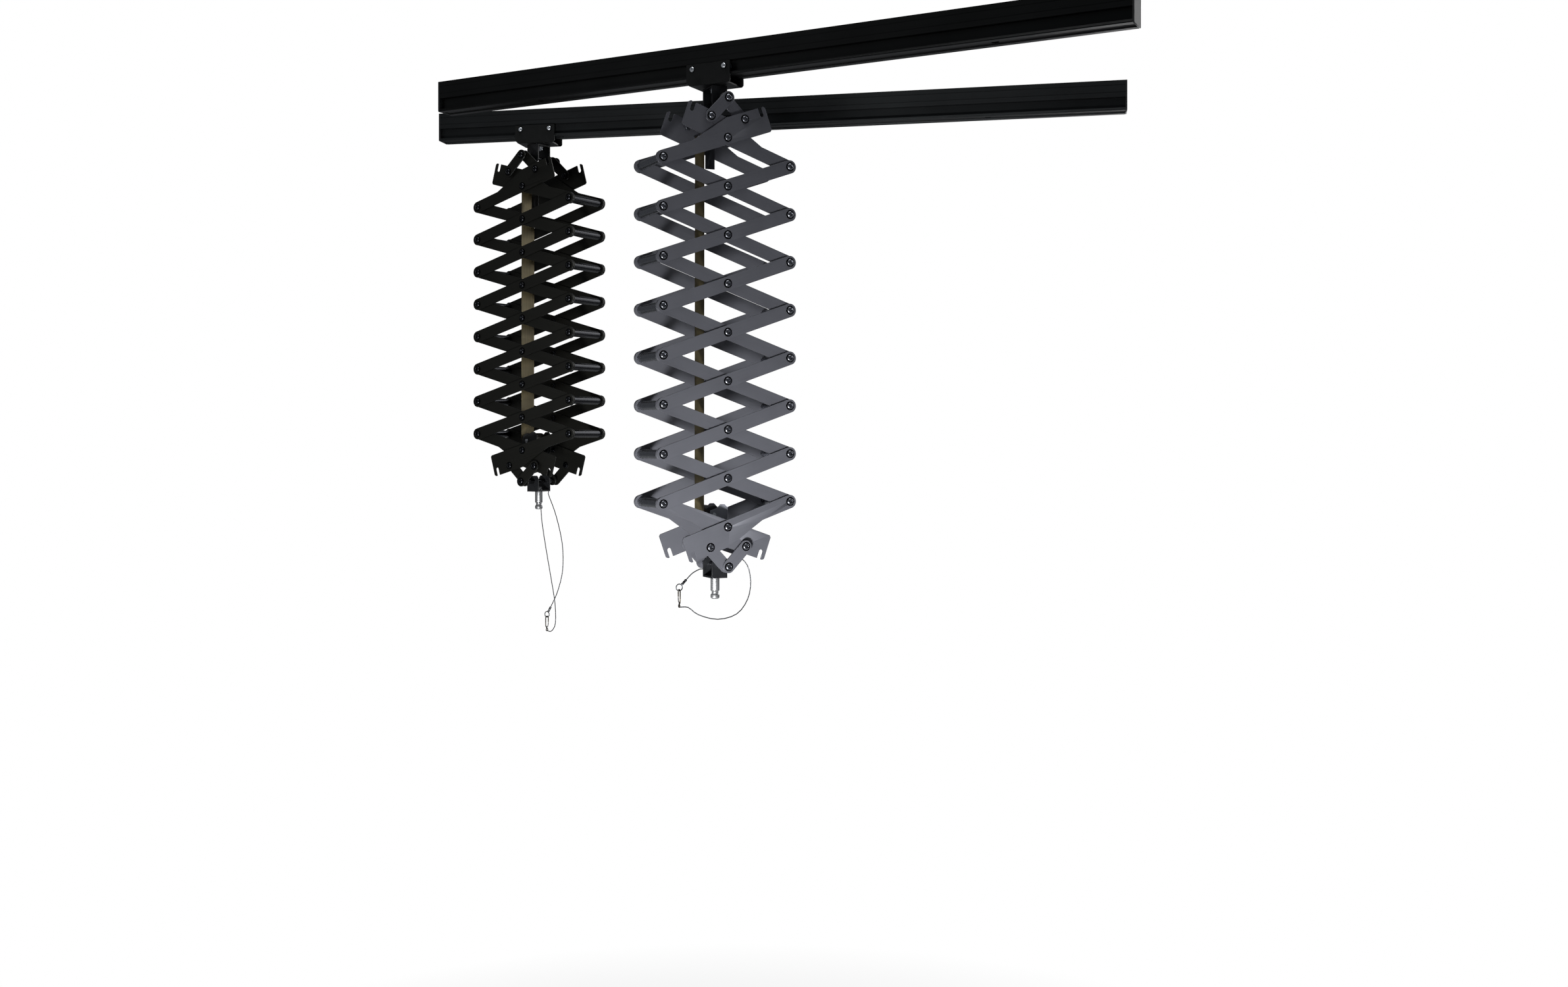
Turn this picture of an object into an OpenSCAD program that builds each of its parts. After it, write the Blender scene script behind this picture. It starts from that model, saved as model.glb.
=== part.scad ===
// Ceiling rail system: two ceiling rails, each with a rolling carriage that
// carries a swivelling, spring balanced scissor hanger with a stud and a safety cable.
// Millimetres. The origin is the centre of the front rail's ceiling face, +Z is up.

/* [Rails] */
// Width of the rail section
rail_w = 44; // [40:1:50]
// Height of the rail section
rail_h = 59; // [57:1:70]
// Wall of the rail section
rail_wall = 2.5; // [2:0.1:3]
// Depth of the side channel that the rollers run in
groove_depth = 10; // [9:0.5:12]
// Height of the flange below the side channel
flange_h = 5; // [4.5:0.1:12]
// Width of the channel in the rail's underside
keel_w = 21; // [20:0.5:23]
// Depth of the channel in the rail's underside
keel_depth = 2; // [1.5:0.5:2.5]
// Length of the front rail
front_rail_l = 1360; // [1200:10:2000]
// Length of the rear rail
rear_rail_l = 1440; // [1200:10:2000]
// Place of the rear rail's centre, to the right of the front rail's centre
rear_rail_dx = -180; // [-300:10:100]
// Place of the rear rail's centre, behind the front rail's centre
rear_rail_dy = 430; // [400:10:700]
// Turn of the rear rail away from parallel
rear_rail_yaw = 16; // [0:1:20]
// Thickness of the end caps
cap_t = 3; // [2:0.5:6]

/* [Ceiling screws] */
// Distance between the two ceiling holes of a rail
ceiling_pitch = 900; // [600:10:1100]
// Diameter of a ceiling hole
ceiling_hole_d = 6.5; // [5:0.5:9]
// Diameter of the screwdriver access holes below it
access_hole_d = 13; // [12:0.5:16]

/* [Carriages] */
// Length of a carriage
carriage_l = 88; // [80:1:120]
// Thickness of the carriage plate
carriage_t = 3; // [2:0.5:4]
// Gap between the rail and the carriage sides
carriage_gap = 2; // [1:0.5:3]
// Gap between the rail's underside and the carriage floor
floor_gap = 11; // [2:0.5:14]
// Height of the carriage sides
carriage_h = 38; // [33:1:40]
// Distance between the two roller axles
axle_pitch = 64; // [50:1:66]
// Diameter of a roller
roller_d = 20; // [18:0.5:20]
// Width of a roller
roller_w = 8; // [6:0.5:8]
// Diameter of a roller axle
axle_d = 8; // [6:0.5:10]
// Place of the front carriage along its rail
front_carriage_x = -70; // [-500:10:500]
// Place of the rear carriage along its rail
rear_carriage_x = -500; // [-550:10:550]
// Diameter of the swivel bolt
king_d = 10; // [8:0.5:12]

/* [Hangers and stirrups] */
// Width of the hanger and stirrup, along the scissor
bracket_w = 30; // [28:1:36]
// Depth of the hanger and stirrup, across the scissor
bracket_d = 41; // [38:1:60]
// Thickness of the hanger and stirrup plate
bracket_t = 3; // [2:0.5:4]
// Drop from the carriage floor to the upper pivot
hanger_drop = 30; // [23:1:32]
// Drop from the lower pivot to the stirrup's inner floor
stirrup_drop = 20; // [20:1:30]
// Diameter of the stud
spigot_d = 16; // [16:1:17]
// Length of the stud below the stirrup
spigot_l = 38; // [32:1:50]

/* [Scissor] */
// Length of an arm between its end pivots
arm_l = 260; // [220:1:320]
// Width of an arm
arm_w = 24; // [22:1:24]
// Thickness of an arm
arm_t = 3; // [2.5:0.1:3]
// Number of crossed pairs in each scissor
pairs = 9;
// Angle of the front scissor's arms from level
front_open = 19.25; // [14:0.05:40]
// Angle of the rear scissor's arms from level
rear_open = 15.6; // [14:0.05:40]
// Turn of the front scissor from its rail
front_turn = 53; // [-90:1:90]
// Turn of the rear scissor from its rail
rear_turn = -20.5; // [-90:0.5:90]
// Distance from the scissor's middle plane to the inner arms
half_depth = 48; // [46:1:60]
// Diameter of the pivot bolts
pin_d = 8; // [6:0.5:8]
// Diameter of the spacer tubes
tube_d = 16; // [14:0.5:16]
// Diameter of a bolt head
head_d = 14; // [13:0.5:15]
// Height of a bolt head
head_h = 3.6; // [3:0.1:4]

/* [End plates and links] */
// Length of the wide end, from the crossing
plate_l = 88; // [84:1:96]
// Height of the wide end's outer edge, from the arm's centre line
plate_h = 34; // [33:1:36]
// Place of the link bolt along the wide end
link_u = 43; // [40:1:46]
// Place of the link bolt up the wide end
link_v = 22; // [21:1:24]
// Width of a link
link_w = 22; // [20:1:22]
// Width of the notch in the wide end
notch_w = 8; // [6:0.5:9]
// Depth of the notch in the wide end
notch_depth = 17; // [12:0.5:18]

/* [Spring balancer] */
// Width of the spring band
band_w = 42; // [30:1:44]
// Thickness of the spring band
band_t = 0.8; // [0.6:0.1:1.2]
// Distance of the band from the scissor's centre line
band_x = 30; // [28:1:34]
// Diameter of the spring drum
drum_d = 34; // [30:1:34]
// Height of the drum's axle above the lowest crossing
drum_z = 20; // [19:1:24]
// Thickness of the drum's cheeks
cheek_t = 2; // [1.5:0.5:3]

/* [Safety cable] */
// Diameter of the cable
cable_d = 2; // [1.5:0.1:3]

/* [Fits] */
// Radial clearance of a part that turns on a pin
turn_gap = 0.15; // [0.15:0.01:0.2]
// Clearance between pieces that are clamped together
seat_gap = 0.02; // [0.02:0.01:0.05]
// Clearance between faces that slide past each other
side_gap = 0.2; // [0.15:0.01:0.3]
// Height of the gap under a roller
roller_gap = 0.3; // [0.2:0.1:0.4]

/* [Hidden] */
$fn = 48;
eps = 1;
half_w = rail_w / 2;
web_w = rail_w - 2 * groove_depth;
flange_top = -rail_h + flange_h;
axle_z = flange_top + roller_gap + roller_d / 2;
groove_top = axle_z + roller_d / 2 + 2 * roller_gap;
bead_r = 1.6;
line_h = 1.2;
line_depth = 0.6;
line_zs = [-0.16 * rail_h, -0.4 * rail_h];
cap_plug_l = 8;

side_y = half_w + carriage_gap;
floor_top = -rail_h - floor_gap;
floor_z = floor_top - carriage_t;
carriage_top = floor_top + carriage_h - carriage_t;
carriage_chamfer = 6;
axle_head_d = 1.5 * axle_d;
axle_head_h = 3;
roller_lip = 1;
roller_y = half_w - groove_depth + 1;

apex_z = floor_z - hanger_drop;
crown_z = floor_z - 1;
king_head_d = 1.8 * king_d;
king_head_h = 3.6;
king_nut_d = 1.7 * king_d;
king_nut_h = 6;
washer_h = 1;
cheek_r = 11;

outer_in = half_depth + arm_t + 1;
outer_out = outer_in + arm_t;
link_in = half_depth - 1 - arm_t;
link_out = outer_out + 1;
pin_r = pin_d / 2;
arm_r = arm_w / 2;
link_r = link_w / 2;
boss_r = 6;
tip_r = 3;
link_l = norm([link_u, link_v]);
link_angle = atan2(link_v, link_u);

stirrup_h = stirrup_drop + bracket_t;
spigot_groove_d = 0.75 * spigot_d;
spigot_groove_h = 4;
spigot_collar_h = 7;
spigot_slope = 2;
stud_bolt_d = 8;

drum_x = band_x - drum_d / 2;
cheek_y = band_w / 2 + 1;
cheek_right = 14;
cheek_low = 9;
sleeve_r = pin_r + 3;
tab_l = 48;
tab_w = 18;
ferrule_l = 12;
eye_r = 6;
hook_w = 11;
hook_l = 34;
hook_t = 3;
hook_bar = 2;
hook_mouth = 20;
hook_seat = eye_r - sqrt(pow(eye_r - cable_d / 2, 2) - pow(hook_t / 2, 2)) + seat_gap;

// Cable routes from the middle of a stirrup's underside: to the right, to the back and up.
// The front strands leave the edges of a stirrup cheek, and the rear strands its underside.
// The eyed strand ends in a ferrule and an eye, and the hooked strand at the foot of the hook.
cable_seat = 0.05;
edge_x = bracket_w / 2 + cable_seat;
front_eyed = [[-edge_x, 0, 14], [-18.5, 0, 14], [-23, 0, 13.4], [-36, 0, 7], [-48, 0, -4]];
front_hooked = [[edge_x, 0, 14], [18, 0, 14], [22, 0, 14.8], [36, 0, 26], [55, 0, 33], [73, 0, 18],
    [80, 0, -12], [74, 0, -44], [52, 0, -70], [14, 0, -78], [-24, 0, -68], [-44, 0, -54]];
rear_eyed = [[11, 0, -cable_seat], [11, 0, -4], [12, 0, -9], [32, 0, -52], [49, 0, -112], [50, 0, -168],
    [36, 0, -215], [17, 0, -249]];
rear_hooked = [[-11, 0, -cable_seat], [-11, 0, -4], [-11.4, 0, -9], [-7, -1, -60], [6, -3, -120],
    [24, -6, -190], [34, -6, -240], [32, -2, -282], [20, 0, -300]];
cable_depth = bracket_d / 2 - bracket_t / 2;
cable_steps = 3;
cable_sides = 8;

function apex_drop(open) = 2 * link_l * sin(open + link_angle);
function pitch(open) = arm_l * sin(open);
function cross_z(open, i) = apex_z - apex_drop(open) - (i - 1) * pitch(open);
function foot_z(open) = cross_z(open, pairs) - apex_drop(open);
function lean(layer, open) = layer == "a" ? open : -open;

FRONT_ARMS = [for (i = [1:pairs], s = ["a", "b"]) str("front_arm_", s, i)];
REAR_ARMS = [for (i = [1:pairs], s = ["a", "b"]) str("rear_arm_", s, i)];

// Places
module on_rear_rail() {
    translate([rear_rail_dx, rear_rail_dy, 0]) rotate([0, 0, rear_rail_yaw]) children();
}

module under_front_carriage() {
    translate([front_carriage_x, 0, 0]) rotate([0, 0, front_turn]) children();
}

module under_rear_carriage() {
    on_rear_rail() translate([rear_carriage_x, 0, 0]) rotate([0, 0, rear_turn]) children();
}

// Basic forms
module across(y0, y1) {
    // Extrudes an XZ outline from depth y0 to depth y1
    translate([0, y1, 0]) rotate([90, 0, 0]) linear_extrude(y1 - y0) children();
}

module both_sides() {
    children();
    mirror([0, 1, 0]) children();
}

module rod(r, y0, y1) {
    translate([0, y0, 0]) rotate([-90, 0, 0]) cylinder(r = r, h = y1 - y0);
}

module hex_rod(d, y0, y1) {
    translate([0, y0, 0]) rotate([-90, 0, 0]) cylinder(d = d, h = y1 - y0, $fn = 6);
}

module button_head(y) {
    // Domed socket head with its flat face at depth y, on the outside
    translate([0, y, 0]) rotate([90, 0, 0]) rotate_extrude() difference() {
        polygon([[0, 0], [head_d / 2, 0], [head_d / 2, 0.3 * head_h], [0.3 * head_d, head_h], [0, head_h]]);
        translate([0, 0.45 * head_h]) square([0.16 * head_d, head_h]);
    }
}

module washer(r_in, r_out, y0, y1) {
    difference() {
        rod(r_out, y0, y1);
        rod(r_in, y0 - eps, y1 + eps);
    }
}

// Rail section
module rail_outline() {
    difference() {
        union() {
            translate([-half_w, -rail_h]) square([rail_w, rail_h]);
            for (s = [-1, 1]) translate([s * (half_w - 0.5 * bead_r), -rail_h + bead_r]) circle(r = bead_r);
        }
        for (s = [-1, 1]) {
            translate([s * (half_w - groove_depth / 2 + eps / 2), (groove_top + flange_top) / 2])
                square([groove_depth + eps, groove_top - flange_top], center = true);
            for (z = line_zs) translate([s * half_w, z]) square([2 * line_depth, line_h], center = true);
        }
    }
}

module rail_hollows(gap = 0) {
    upper_h = -groove_top - 2 * rail_wall;
    core_h = groove_top - flange_top;
    translate([-half_w + rail_wall + gap, groove_top + rail_wall + gap])
        square([rail_w - 2 * (rail_wall + gap), upper_h - 2 * gap]);
    translate([-web_w / 2 + rail_wall + gap, -rail_h + keel_depth + rail_wall + gap])
        square([web_w - 2 * (rail_wall + gap), core_h - rail_wall + flange_h - keel_depth - 2 * gap]);
}

module rail_section() {
    difference() {
        rail_outline();
        rail_hollows();
        translate([-keel_w / 2, -rail_h - eps]) square([keel_w, keel_depth + eps]);
    }
}

module along(x0, x1) {
    // Extrudes a YZ outline from x0 to x1
    translate([x0, 0, 0]) rotate([90, 0, 90]) linear_extrude(x1 - x0) children();
}

module rail(l) {
    color("#141617") {
        difference() {
            along(-l / 2 + cap_t + seat_gap, l / 2 - cap_t - seat_gap) rail_section();
            for (x = [-ceiling_pitch / 2, ceiling_pitch / 2]) translate([x, 0, 0]) {
                translate([0, 0, -rail_wall - eps]) cylinder(d = ceiling_hole_d, h = rail_wall + 2 * eps);
                translate([0, 0, -rail_h - eps])
                    cylinder(d = access_hole_d, h = rail_h + groove_top + rail_wall + 2 * eps);
            }
        }
    }
    color("#1b1c1d") for (m = [0, 1]) mirror([m, 0, 0]) {
        along(l / 2 - cap_t, l / 2) cap_outline();
        along(l / 2 - cap_t - cap_plug_l, l / 2 - cap_t) rail_hollows(side_gap);
    }
}

module cap_outline() {
    // Closed outline of an end cap, with its two lower corners cut off
    cut = 2;
    difference() {
        translate([-half_w, -rail_h]) square([rail_w, rail_h]);
        for (s = [-1, 1]) translate([s * half_w, -rail_h]) rotate(45) square(cut, center = true);
    }
}

// Carriage
module carriage_side() {
    x = carriage_l / 2;
    c = carriage_chamfer;
    difference() {
        across(-side_y - carriage_t, -side_y) polygon([
            [-x, carriage_top], [x, carriage_top], [x, floor_z + c / 2], [x - c / 2, floor_z],
            [-x + c, floor_z], [-x, floor_z + c]
        ]);
        for (s = [-1, 1]) translate([s * axle_pitch / 2, 0, axle_z])
            rod(axle_d / 2 + seat_gap, -side_y - carriage_t - eps, -side_y + eps);
    }
}

module carriage_floor() {
    x = carriage_l / 2 - carriage_chamfer;
    difference() {
        translate([-x, -side_y, floor_z]) cube([2 * x, 2 * side_y, carriage_t]);
        translate([0, 0, floor_z - eps]) cylinder(r = king_d / 2 + seat_gap, h = carriage_t + 2 * eps);
    }
}

module roller_axle() {
    // Pan headed axle screw from the outside, with a collar between side and roller
    rod(axle_d / 2, -side_y - carriage_t - seat_gap, -roller_y + 0.5);
    translate([0, -side_y - carriage_t - seat_gap, 0]) rotate([90, 0, 0]) rotate_extrude() polygon([
        [0, 0], [axle_head_d / 2, 0], [axle_head_d / 2, 0.5 * axle_head_h],
        [0.35 * axle_head_d, axle_head_h], [0, axle_head_h]
    ]);
}

module king_bolt() {
    // Head above the carriage floor, stem down through the hanger, lock nut inside the hanger
    translate([0, 0, floor_top + seat_gap]) cylinder(d = king_head_d, h = king_head_h);
    nut_z = crown_z - bracket_t - side_gap - washer_h - king_nut_h;
    translate([0, 0, nut_z - 2]) cylinder(d = king_d, h = floor_top - nut_z + 2 + seat_gap);
    translate([0, 0, nut_z]) cylinder(d = king_nut_d, h = king_nut_h, $fn = 6);
    translate([0, 0, nut_z + king_nut_h]) cylinder(d = king_nut_d + 3, h = washer_h);
    translate([0, 0, crown_z + side_gap / 2]) cylinder(d = king_nut_d + 5, h = floor_z - crown_z - side_gap);
}

module carriage() {
    color("#17191a") {
        both_sides() carriage_side();
        carriage_floor();
    }
    color("#c9ccce") {
        both_sides() for (s = [-1, 1]) translate([s * axle_pitch / 2, 0, axle_z]) roller_axle();
        king_bolt();
    }
}

module roller_pair(s) {
    // The two rollers on one axle line, s is -1 for the left pair and 1 for the right
    color("#3a3d40") translate([s * axle_pitch / 2, 0, axle_z]) both_sides()
        translate([0, -roller_y, 0]) rotate([90, 0, 0]) rotate_extrude() polygon([
            [axle_d / 2 + turn_gap, 0], [roller_d / 2 - roller_lip, 0], [roller_d / 2, roller_lip],
            [roller_d / 2, roller_w - roller_lip], [roller_d / 2 - roller_lip, roller_w],
            [axle_d / 2 + turn_gap, roller_w]
        ]);
}

// Hanger and stirrup
module bracket_cheek(h, r_pin) {
    // Cheek from its pivot at the origin up to height h, round below
    across(-bracket_d / 2, -bracket_d / 2 + bracket_t) difference() {
        union() {
            translate([-bracket_w / 2, 0]) square([bracket_w, h]);
            intersection() {
                circle(r = bracket_w / 2);
                translate([-bracket_w / 2, -cheek_r]) square([bracket_w, cheek_r]);
            }
        }
        circle(r = r_pin);
    }
}

module apex_pin() {
    // Long pivot bolt with spacer tubes that hold the links apart
    rod(pin_r, -link_out - arm_t - side_gap, link_out + arm_t + side_gap);
    both_sides() {
        button_head(-link_out - arm_t - side_gap);
        washer(pin_r + seat_gap, boss_r, -link_in + side_gap, -bracket_d / 2 - seat_gap);
        washer(pin_r + seat_gap, boss_r, -link_out + side_gap, -link_in - arm_t - side_gap);
    }
}

module hanger() {
    h = crown_z - apex_z;
    color("#2a2c30") translate([0, 0, apex_z]) {
        both_sides() bracket_cheek(h, pin_r + seat_gap);
        difference() {
            translate([-bracket_w / 2, -bracket_d / 2, h - bracket_t])
                cube([bracket_w, bracket_d, bracket_t]);
            translate([0, 0, h - bracket_t - eps])
                cylinder(r = king_d / 2 + turn_gap, h = bracket_t + 2 * eps);
        }
    }
    color("#1a1b1d") translate([0, 0, apex_z]) apex_pin();
}

module spigot() {
    // Stud with a locking groove and a chamfered tip, and the bolt that holds it
    z1 = -stirrup_h - seat_gap;
    r = spigot_d / 2;
    s = spigot_slope;
    groove_z = spigot_collar_h + s;
    groove_end = groove_z + spigot_groove_h;
    translate([0, 0, z1 - spigot_l]) rotate_extrude() polygon([
        [0, 0], [r - s, 0], [r, s], [r, spigot_collar_h], [spigot_groove_d / 2, groove_z],
        [spigot_groove_d / 2, groove_end], [r, groove_end + s], [r, spigot_l], [0, spigot_l]
    ]);
    translate([0, 0, -stirrup_h - 2 * seat_gap]) cylinder(d = stud_bolt_d, h = bracket_t + 3 * seat_gap + 6);
    translate([0, 0, -stirrup_drop + seat_gap]) cylinder(d = 1.9 * stud_bolt_d, h = 1.5);
    translate([0, 0, -stirrup_drop + seat_gap + 1.5]) cylinder(d = 1.7 * stud_bolt_d, h = 5, $fn = 6);
}

module stirrup(open) {
    color("#2a2c30") translate([0, 0, foot_z(open)]) {
        mirror([0, 0, 1]) both_sides() bracket_cheek(stirrup_h, pin_r + seat_gap);
        difference() {
            translate([-bracket_w / 2, -bracket_d / 2, -stirrup_h]) cube([bracket_w, bracket_d, bracket_t]);
            translate([0, 0, -stirrup_h - eps])
                cylinder(r = stud_bolt_d / 2 + seat_gap, h = bracket_t + 2 * eps);
        }
    }
    color("#1a1b1d") translate([0, 0, foot_z(open)]) apex_pin();
    color("#c9ccce") translate([0, 0, foot_z(open)]) spigot();
}

// Scissor arms
module arm_outline(r_mid, r_end) {
    // Bar with round ends, seen from the front, with its three bolt holes
    difference() {
        union() {
            translate([-arm_l / 2, -arm_r]) square([arm_l, arm_w]);
            for (s = [-1, 1]) translate([s * arm_l / 2, 0]) circle(r = arm_r);
        }
        circle(r = r_mid);
        for (s = [-1, 1]) translate([s * arm_l / 2, 0]) circle(r = r_end);
    }
}

module plate_outline(r_mid, r_end, r_link) {
    // End arm: a bar on one side, and a wide notched plate that carries a link on the other
    taper = arm_l / 4 + 3;
    notch_u = plate_l - 10;
    difference() {
        union() {
            translate([-arm_l / 2, 0]) circle(r = arm_r);
            translate([-arm_l / 2, -arm_r]) square([arm_l / 2 - taper, arm_w]);
            difference() {
                polygon([
                    [-taper, -arm_r], [plate_l - tip_r, -arm_r], [plate_l, -arm_r + tip_r],
                    [plate_l, plate_h - tip_r], [plate_l - tip_r, plate_h], [arm_r - 2, plate_h],
                    [-taper, arm_r]
                ]);
                translate([notch_u - notch_w / 2, plate_h - notch_depth + notch_w / 2])
                    square([notch_w, notch_depth]);
                translate([notch_u, plate_h - notch_depth + notch_w / 2]) circle(d = notch_w);
            }
        }
        circle(r = r_mid);
        translate([-arm_l / 2, 0]) circle(r = r_end);
        translate([link_u, link_v]) circle(r = r_link);
    }
}

module end_bolt() {
    // Through bolt of an end pivot, with its spacer tube between the inner arms
    rod(pin_r, -outer_out - side_gap, outer_out + side_gap);
    both_sides() button_head(-outer_out - side_gap);
    washer(pin_r + seat_gap, tube_d / 2, -half_depth + seat_gap, half_depth - seat_gap);
}

module mid_bolt() {
    // Short bolt of a crossing, with its nut on the inside
    both_sides() {
        rod(pin_r, -outer_out - seat_gap, -half_depth + side_gap + 5);
        button_head(-outer_out - seat_gap);
        hex_rod(head_d, -half_depth + side_gap, -half_depth + side_gap + 4);
    }
}

module through_bolt() {
    // Bolt of the first and last crossing, which goes through from side to side
    rod(pin_r, -outer_out - seat_gap, outer_out + seat_gap);
    both_sides() {
        button_head(-outer_out - seat_gap);
        washer(pin_r + seat_gap, boss_r, -half_depth + side_gap, -half_depth + side_gap + 3);
    }
}

module inner_link_bolt() {
    // Holds an inner link on an outer plate, through a bush as thick as the inner arm
    rod(pin_r, -outer_out - seat_gap, -link_in + side_gap);
    button_head(-outer_out - seat_gap);
    washer(pin_r + seat_gap, boss_r, -outer_in + seat_gap, -link_in - arm_t - side_gap);
    hex_rod(head_d, -link_in + side_gap, -link_in + side_gap + 4);
}

module outer_link_bolt() {
    // Holds an outer link on an inner plate, through a bush as thick as the outer arm
    rod(pin_r, -link_out - arm_t - side_gap, -half_depth + seat_gap);
    button_head(-link_out - arm_t - side_gap);
    washer(pin_r + seat_gap, boss_r, -link_out + side_gap, -half_depth - arm_t - seat_gap);
    hex_rod(head_d, -half_depth + seat_gap, -half_depth + seat_gap + 4);
}

module arm_place(layer, open, i) {
    // The arm's own frame: u towards the end that is raised at the top of the scissor
    flip = layer == "a" ? 0 : 1;
    turn_over = i == pairs ? 180 : 0;
    translate([0, 0, cross_z(open, i)]) mirror([flip, 0, 0]) rotate([0, -open - turn_over, 0]) children();
}

module arm(layer, open, i) {
    tone = 0.17 + 0.012 * i;
    end_arm = i == 1 || i == pairs;
    is_a = layer == "a";
    y = is_a ? outer_in : half_depth;
    r_mid = is_a ? pin_r + seat_gap : pin_r + turn_gap;
    r_end = is_a ? pin_r + turn_gap : pin_r + seat_gap;
    arm_place(layer, open, i) {
        color([tone, tone + 0.005, tone + 0.02]) both_sides() across(-y - arm_t, -y) {
            if (end_arm) plate_outline(r_mid, r_end, pin_r + seat_gap);
            else arm_outline(r_mid, r_end);
        }
        color("#1a1b1d") {
            if (is_a && end_arm) {
                through_bolt();
                translate([link_u, 0, link_v]) both_sides() inner_link_bolt();
            }
            if (is_a && !end_arm) mid_bolt();
            if (!is_a && end_arm) translate([link_u, 0, link_v]) both_sides() outer_link_bolt();
            if (!is_a) {
                translate([-arm_l / 2, 0, 0]) end_bolt();
                if (!end_arm) translate([arm_l / 2, 0, 0]) end_bolt();
            }
        }
    }
}

// Links
module link_outline() {
    difference() {
        round_bar(link_l, link_r);
        circle(r = pin_r + turn_gap);
        translate([link_l, 0]) circle(r = pin_r + turn_gap);
    }
}

module round_bar(l, r) {
    translate([0, -r]) square([l, 2 * r]);
    circle(r = r);
    translate([l, 0]) circle(r = r);
}

module link(open, place, side) {
    // side is -1 for left and 1 for right; a right link at the top goes to an outer plate
    top = place == "top";
    steep = open + link_angle;
    inner = top ? side == 1 : side == -1;
    y = inner ? link_in : link_out;
    z = top ? apex_z : foot_z(open);
    color("#303236") translate([0, 0, z]) mirror([side == 1 ? 0 : 1, 0, 0])
        rotate([0, top ? steep : -steep, 0]) both_sides() across(-y - arm_t, -y) link_outline();
}

// Spring balancer
module spring(open) {
    z1 = cross_z(open, 1);
    z9 = cross_z(open, pairs);
    top_z = z1 + 12;
    color("#6b5a3e") translate([-band_x - band_t, -band_w / 2, z9 + drum_z])
        cube([band_t, band_w, top_z - z9 - drum_z - seat_gap]);
    color("#5b5f63") translate([0, 0, z1]) spring_anchor(top_z - z1);
    translate([0, 0, z9]) spring_drum();
}

module spring_anchor(h) {
    // Sleeve on the first crossing's bolt, with an arm to the band and a slotted spare tab
    difference() {
        union() {
            rod(sleeve_r, -band_w / 2, band_w / 2);
            translate([-band_x - 2.5, -band_w / 2, h]) cube([band_x - sleeve_r + 6, band_w, 2]);
            translate([-sleeve_r, -band_w / 2, 0]) cube([3, band_w, h + 2]);
            across(-1, 1) translate([-tab_w - 1, -tab_l]) square([tab_w, tab_l]);
        }
        rod(pin_r + turn_gap, -band_w, band_w);
        across(-2, 2) translate([-tab_w / 2 - 3, -tab_l + 6]) square([4, 10]);
    }
}

module spring_drum() {
    c = 6;
    top = drum_z + drum_d / 2 + 2;
    left = drum_x + sleeve_r;
    color("#33302c") translate([-drum_x, 0, drum_z]) {
        washer(pin_r + turn_gap, drum_d / 2, -band_w / 2 - 0.5, band_w / 2 + 0.5);
    }
    color("#9a9da0") {
        translate([-drum_x, 0, drum_z]) rod(pin_r, -cheek_y - cheek_t - 2, cheek_y + cheek_t + 2);
        both_sides() difference() {
            across(-cheek_y - cheek_t, -cheek_y) polygon([
                [-left, drum_z - sleeve_r], [-left, drum_z + sleeve_r + 1], [-c, top - c], [0, top],
                [cheek_right - c, top], [cheek_right, top - c], [cheek_right, c - cheek_low - 1],
                [cheek_right - c + 1, -cheek_low], [-sleeve_r, -cheek_low]
            ]);
            rod(pin_r + turn_gap, -band_w, band_w);
            translate([-drum_x, 0, drum_z]) rod(pin_r + seat_gap, -band_w, band_w);
        }
    }
}

// Safety cable
function bend(p0, p1, p2, p3, t) =
    0.5 * (2 * p1 + (p2 - p0) * t + (2 * p0 - 5 * p1 + 4 * p2 - p3) * t * t
        + (3 * p1 - p0 - 3 * p2 + p3) * t * t * t);
function route_point(p, k, t) =
    bend(p[max(k - 1, 0)], p[k], p[k + 1], p[min(k + 2, len(p) - 1)], t);
function route(p) = concat(
    [for (k = [0:len(p) - 2], j = [0:cable_steps - 1]) route_point(p, k, j / cable_steps)],
    [p[len(p) - 1]]
);
function direction(q, k) = let (d = q[min(k + 1, len(q) - 1)] - q[max(k - 1, 0)]) d / norm(d);

module cable_tube(points) {
    // The route lies near the XZ plane, so each ring is spanned by Y and the normal in that plane
    q = route(points);
    n = cable_sides;
    rings = [for (k = [0:len(q) - 1], j = [0:n - 1])
        let (d = direction(q, k), a = 360 * j / n)
            q[k] + cable_d / 2 * (cos(a) * [0, 1, 0] + sin(a) * [d[2], 0, -d[0]])];
    sides = [for (k = [0:len(q) - 2], j = [0:n - 1])
        [k * n + j, k * n + (j + 1) % n, (k + 1) * n + (j + 1) % n, (k + 1) * n + j]];
    ends = [[for (j = [n - 1:-1:0]) j], [for (j = [0:n - 1]) (len(q) - 1) * n + j]];
    polyhedron(rings, concat(sides, ends));
}

module snap_hook() {
    // Flat snap hook that hangs on the eye's lowest point, with its gate gap and its own small eye
    r = hook_w / 2;
    top = hook_seat + hook_bar;
    rotate([0, 0, 90]) across(-hook_t / 2, hook_t / 2) difference() {
        union() {
            translate([0, top - r]) circle(r = r);
            translate([-r, top - hook_l + r]) square([hook_w, hook_l - hook_w]);
            translate([0, top - hook_l + r]) circle(r = r);
        }
        translate([-r + hook_bar, top - hook_bar - hook_mouth]) square([hook_w - 2 * hook_bar, hook_mouth]);
        translate([0, top - 0.6 * hook_l]) square([hook_w, 1.5]);
        translate([0, top - hook_l + r]) circle(r = r / 2);
    }
}

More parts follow.
